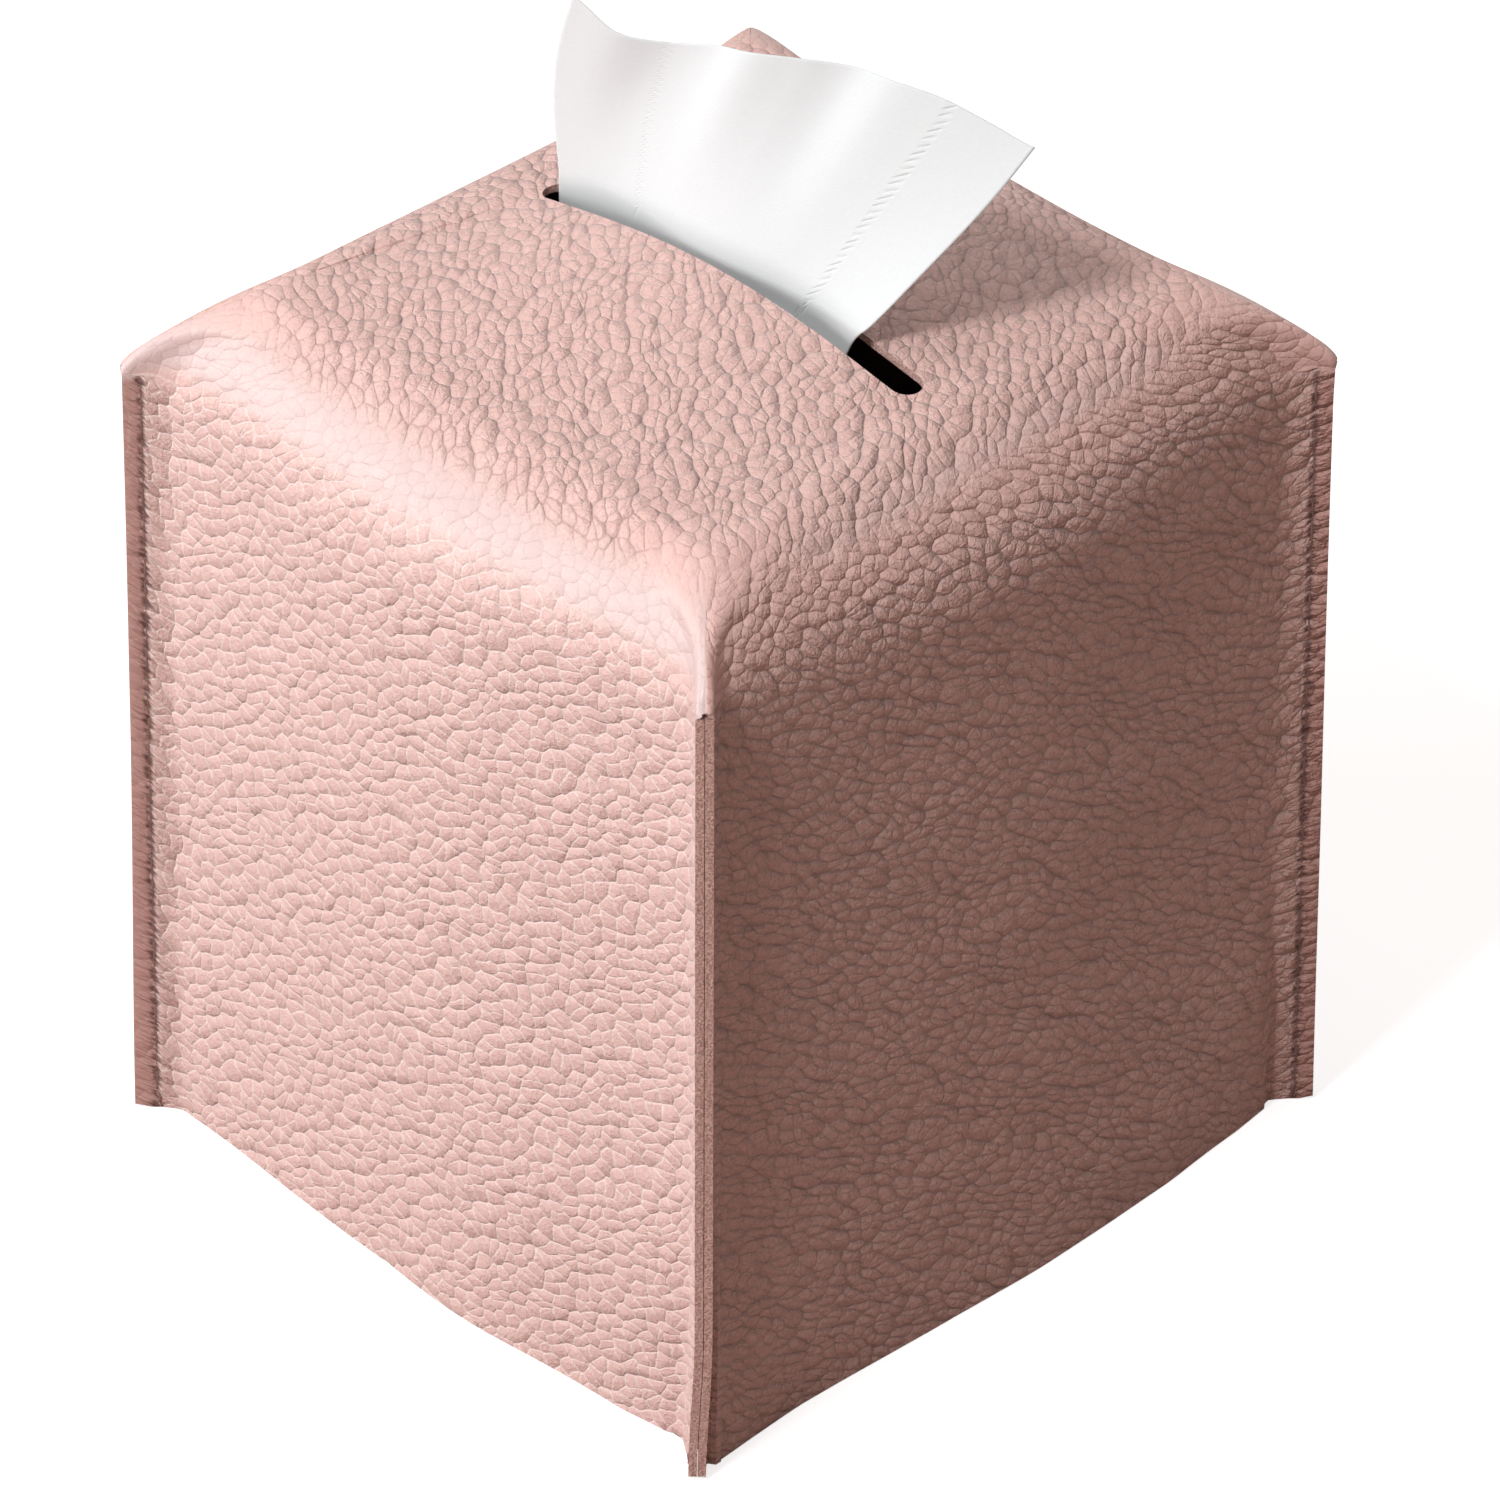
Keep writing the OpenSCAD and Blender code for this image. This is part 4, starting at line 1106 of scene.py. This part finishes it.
def tissue_point(c, t, s, h):
    """Middle of the tissue: s from left to right, h from the slot (0) to the edge (1)."""
    foot_left, foot_right = -c.slot_l / 2 + t.left_room, c.slot_l / 2 - t.right_room
    foot_x = foot_left + (foot_right - foot_left) * s
    edge_x = foot_left + t.left_lean + (foot_right + t.right_lean - foot_left - t.left_lean) * s
    sway = c.slot_w / 2 - t.clear - t.cad_thickness / 2
    foot_y = 0.4 * sway * np.sin(2 * np.pi * 1.5 * s)
    fold_y = t.fold_depth * spline(EDGE_FOLDS, s)
    up = np.maximum(0, h)
    out = up * up * (3 - 2 * up)
    x = foot_x + (edge_x - foot_x) * up - t.left_bow * (1 - s) * np.sin(np.pi * up)
    x = x + s * (t.right_bow * np.sin(np.pi * up ** 0.6) - 0.3 * t.right_bow * np.sin(
        2 * np.pi * up))
    # Below the slot the sheet goes on drawing together towards the pile
    x = x - t.tail_draw * s * (1 - np.exp(np.minimum(0, h) * t.tail * 0.84 / t.tail_draw))
    y = foot_y + (fold_y - foot_y) * out + t.back_lean * s * up
    z = c.slot_z + np.where(h < 0, h * t.tail, h * t.height * spline(EDGE_HEIGHTS, s))
    return np.stack([x, y, z], -1)


def tissue_mesh(c, t):
    """Both faces of the tissue and its edges, with what its material needs."""
    s = np.linspace(0, 1, t.columns + 1)[None]
    h = np.concatenate([np.linspace(-1, 0, TAIL_ROWS + 1), np.linspace(0, 1, t.rows + 1)[1:]])
    s, h = np.broadcast_arrays(s, h[:, None])
    mid = tissue_point(c, t, s, h)
    wide = np.linalg.norm(np.diff(mid[-1], axis=0), axis=-1).sum() / MM
    tall = t.height / MM
    across, height = s * wide, h * tall
    # Two bands of slanting dashes, where the machine crimped the plies together
    crimp = np.zeros_like(s)
    for low, high, lead, depth in CRIMP_BANDS:
        off = (s - low - (high - low) * np.maximum(h, 0)) * wide
        dash = np.abs(((height + lead * off) / DASH) % 1 - 0.5)
        band = smooth(dash, 0.25, 0.45) * (1 - smooth(np.abs(off), 0.6, 1.05))
        crimp = np.maximum(crimp, depth * band)
    normal = unit(np.cross(np.gradient(mid, axis=1), np.gradient(mid, axis=0)))
    half = t.thickness / 2
    rows, n = mid.shape[:2]
    front = (mid + normal * half).reshape(-1, 3)
    back = (mid - normal * half).reshape(-1, 3)
    grid, count = np.arange(rows * n).reshape(rows, n), rows * n
    a, b, d, e = grid[:-1, :-1], grid[:-1, 1:], grid[1:, 1:], grid[1:, :-1]
    blocks = [(a, b, d, e), (count + a, count + e, count + d, count + b)]
    for line in (grid[0], grid[-1], grid[:, 0], grid[:, -1]):
        blocks.append((line[:-1], line[1:], count + line[1:], count + line[:-1]))
    faces = np.concatenate([np.stack([np.ravel(x) for x in block], 1) for block in blocks])
    uv = np.stack([across, height], -1).reshape(-1, 2)
    rise = (mid[..., 2] - top_z(c, mid[..., 0], mid[..., 1])) / MM
    values = {"crimp": crimp, "rise": rise}
    return (np.concatenate([front, back]), faces, np.concatenate([uv, uv])[faces],
            {name: np.concatenate([v.ravel()] * 2) for name, v in values.items()}, mid)


class COVER_OT_leather(bpy.types.Operator):
    """Builds the pebbled leather sheet that is the top and the four walls"""
    bl_idname = "box_cover.leather"
    bl_label = "Leather cover"

    def execute(self, context):
        scene = context.scene
        c, th = with_derived(plain(scene.box_cover)), plain(scene.box_cover_thread)
        look = plain(scene.box_cover_look)
        verts, faces, mats, loops, values, g = cover_mesh(c, th)
        obj = make_object("leather_cover", verts, faces, mats, loops, values,
                          (leather_skin(look), cut_edge(look), brushed_backing(look)))
        obj.data.set_sharp_from_angle(angle=math.radians(50))
        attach(obj, "cover")
        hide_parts("cover_panel")
        # The cut is a cross: the top with a wall on each side of it
        flat = [2 * float(np.abs(g.rings[RIM_ROWS, :, axis]).max()
                          + max(uv[0, :, 1].max() for uv in g.strip_uv)) for axis in (0, 1)]
        return {"FINISHED"}


class COVER_OT_threads(bpy.types.Operator):
    """Builds the two threads of each corner's lockstitch seam"""
    bl_idname = "box_cover.threads"
    bl_label = "Seam threads"

    def execute(self, context):
        scene = context.scene
        c, th = with_derived(plain(scene.box_cover)), plain(scene.box_cover_thread)
        material = twisted_thread(plain(scene.box_cover_look))
        g = CoverGrid(c, th)
        for side, corner in enumerate(CORNERS):
            for kind, on_side in (("needle", 1), ("bobbin", -1)):
                verts, faces, uv = thread_mesh(c, th, g, side, on_side)
                obj = make_object(f"{corner}_{kind}_stitches", verts, faces,
                                  places={"thread": uv}, materials=(material,))
                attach(obj, "cover")
                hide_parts(f"{corner}_{kind}_thread")
        return {"FINISHED"}


class COVER_OT_tissue(bpy.types.Operator):
    """Builds the tissue that stands in the slot"""
    bl_idname = "box_cover.tissue"
    bl_label = "Tissue"

    def execute(self, context):
        scene = context.scene
        c, t = with_derived(plain(scene.box_cover)), plain(scene.box_cover_tissue)
        verts, faces, uv, values, mid = tissue_mesh(c, t)
        obj = make_object("soft_tissue", verts, faces, None, {"tissue": uv}, values,
                          (tissue_paper(plain(scene.box_cover_look)),))
        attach(obj, "tissue")
        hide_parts("tissue_sheet")
        return {"FINISHED"}


class COVER_OT_stage(bpy.types.Operator):
    """Sets the floor, the light and the camera"""
    bl_idname = "box_cover.stage"
    bl_label = "Stage"

    def execute(self, context):
        scene = context.scene
        s = plain(scene.box_cover_stage)
        scene.view_settings.view_transform = "Standard"
        self.floor(scene, s)
        self.light(scene, s)
        self.camera(scene, s)
        return {"FINISHED"}

    def floor(self, scene, s):
        mesh = bpy.data.meshes.new("floor")
        mesh.from_pydata([(x * FLOOR_REACH, y * FLOOR_REACH, 0) for x, y in (
            (-1, -1), (1, -1), (1, 1), (-1, 1))], [], [(0, 1, 2, 3)])
        floor = bpy.data.objects.new("floor", mesh)
        scene.collection.objects.link(floor)
        # Matt paper: pale and flat, with a faint tooth and hardly any gloss
        material, add = new_material("matt_paper_sweep")
        place = add("TexCoord").outputs["Object"]
        tooth = add("TexNoise", {"Vector": place, "Scale": 900.0, "Detail": 2.0})
        colour = add("Mix", {0: tooth, 6: list(s.floor), 7: tinted(s.floor, 0.97, 0.97, 0.97)},
                     **COLOURED)
        # The camera sees it lifted to the white of the backdrop, with a pale shadow, apart
        # from what lies in the dark under the cover
        spot = add("SeparateXYZ", {0: add("VectorMath", {0: place}, operation="ABSOLUTE")})
        c = scene.box_cover
        open_x, open_y = [add("Math", {0: spot.outputs[axis], 1: UNDER_SHARE * full / 2},
                              operation="GREATER_THAN")
                          for axis, full in enumerate((c.cover_w, c.cover_d))]
        path = add("LightPath")
        seen = add("Math", {0: path.outputs["Is Camera Ray"],
                   1: path.outputs["Is Transmission Ray"]}, operation="MAXIMUM")
        bare = add("Math", {0: open_x, 1: open_y}, operation="MAXIMUM")
        seen = add("Math", {0: seen, 1: bare}, operation="MULTIPLY")
        colour = add("Mix", {0: seen, 6: colour, 7: SEEN_FLOOR}, **COLOURED)
        glow = add("Math", {0: seen, 1: FLOOR_GLOW}, operation="MULTIPLY")
        shader = add("BsdfPrincipled", {"Base Color": colour, "Emission Strength": glow,
                                        "Emission Color": (1, 1, 1, 1), "Roughness": 0.9})
        add("OutputMaterial", {"Surface": shader})
        mesh.materials.append(material)

    def light(self, scene, s):
        scene.world = bpy.data.worlds.new("studio")
        add = new_tree(scene.world)
        # Gloss and glass show the same white backdrop that the camera does
        path = add("LightPath")
        shown = path.outputs["Is Camera Ray"]
        for ray in ("Is Glossy Ray", "Is Transmission Ray"):
            shown = add("Math", {0: shown, 1: path.outputs[ray]}, operation="MAXIMUM")
        white = add("Background", {"Color": (1, 1, 1, 1), "Strength": 1.0})
        soft = add("Background", {"Color": (*WARM, 1), "Strength": s.ambient})
        add("OutputWorld", {"Surface": add("MixShader", {0: shown, 1: soft, 2: white})})
        aim = Vector((0, 0, LIT_HEIGHT))
        for name, (direction, distance, size) in LAMPS.items():
            lamp = bpy.data.lights.new(f"{name}_light", "AREA")
            lamp.shape, lamp.size, lamp.energy = "SQUARE", size, getattr(s, f"{name}_power")
            obj = bpy.data.objects.new(f"{name}_light", lamp)
            way = Vector(direction).normalized()
            obj.location = aim + way * distance
            obj.rotation_euler = way.to_track_quat("Z", "Y").to_euler()
            scene.collection.objects.link(obj)

    def camera(self, scene, s):
        back = Vector((math.sin(s.azimuth) * math.cos(s.elevation),
                       -math.cos(s.azimuth) * math.cos(s.elevation), math.sin(s.elevation)))
        right = Vector((math.cos(s.azimuth), math.sin(s.azimuth), 0))
        up = back.cross(right)
        turned_right = right * math.cos(s.roll) + up * math.sin(s.roll)
        turned_up = up * math.cos(s.roll) - right * math.sin(s.roll)
        data = bpy.data.cameras.new("camera")
        data.sensor_width, data.lens = 36.0, s.focal
        data.clip_start, data.clip_end = 0.05, 20
        obj = bpy.data.objects.new("camera", data)
        place = back * s.distance + right * s.aside + Vector((0, 0, s.aim_z))
        turn = Matrix((turned_right, turned_up, back)).transposed().to_4x4()
        obj.matrix_world = Matrix.Translation(place) @ turn
        scene.collection.objects.link(obj)
        scene.camera = obj


class COVER_PT_panel(bpy.types.Panel):
    """The cover's sizes and the buttons that build it"""
    bl_label = "Tissue Box Cover"
    bl_idname = "COVER_PT_panel"
    bl_space_type = "VIEW_3D"
    bl_region_type = "UI"
    bl_category = "Box Cover"

    def draw(self, context):
        for group, operators in GROUPS:
            settings = getattr(context.scene, group)
            column = self.layout.column(align=True)
            for name in settings.__annotations__:
                column.prop(settings, name)
            for operator in operators:
                column.operator(operator)


GROUPS = (("box_cover", ("box_cover.leather",)), ("box_cover_thread", ("box_cover.threads",)),
          ("box_cover_tissue", ("box_cover.tissue",)), ("box_cover_look", ()),
          ("box_cover_stage", ("box_cover.stage",)))
SETTINGS = {"box_cover": CoverSettings, "box_cover_thread": ThreadSettings,
            "box_cover_tissue": TissueSettings, "box_cover_look": LookSettings,
            "box_cover_stage": StageSettings}
CLASSES = (*SETTINGS.values(), COVER_OT_leather, COVER_OT_threads, COVER_OT_tissue,
           COVER_OT_stage, COVER_PT_panel)


def register():
    for cls in CLASSES:
        bpy.utils.register_class(cls)
    for name, cls in SETTINGS.items():
        setattr(bpy.types.Scene, name, PointerProperty(type=cls))


def unregister():
    for name in SETTINGS:
        delattr(bpy.types.Scene, name)
    for cls in reversed(CLASSES):
        bpy.utils.unregister_class(cls)


def main():
    register()
    bpy.ops.box_cover.leather()
    bpy.ops.box_cover.threads()
    bpy.ops.box_cover.tissue()
    bpy.ops.box_cover.stage()


if __name__ == "__main__":
    main()
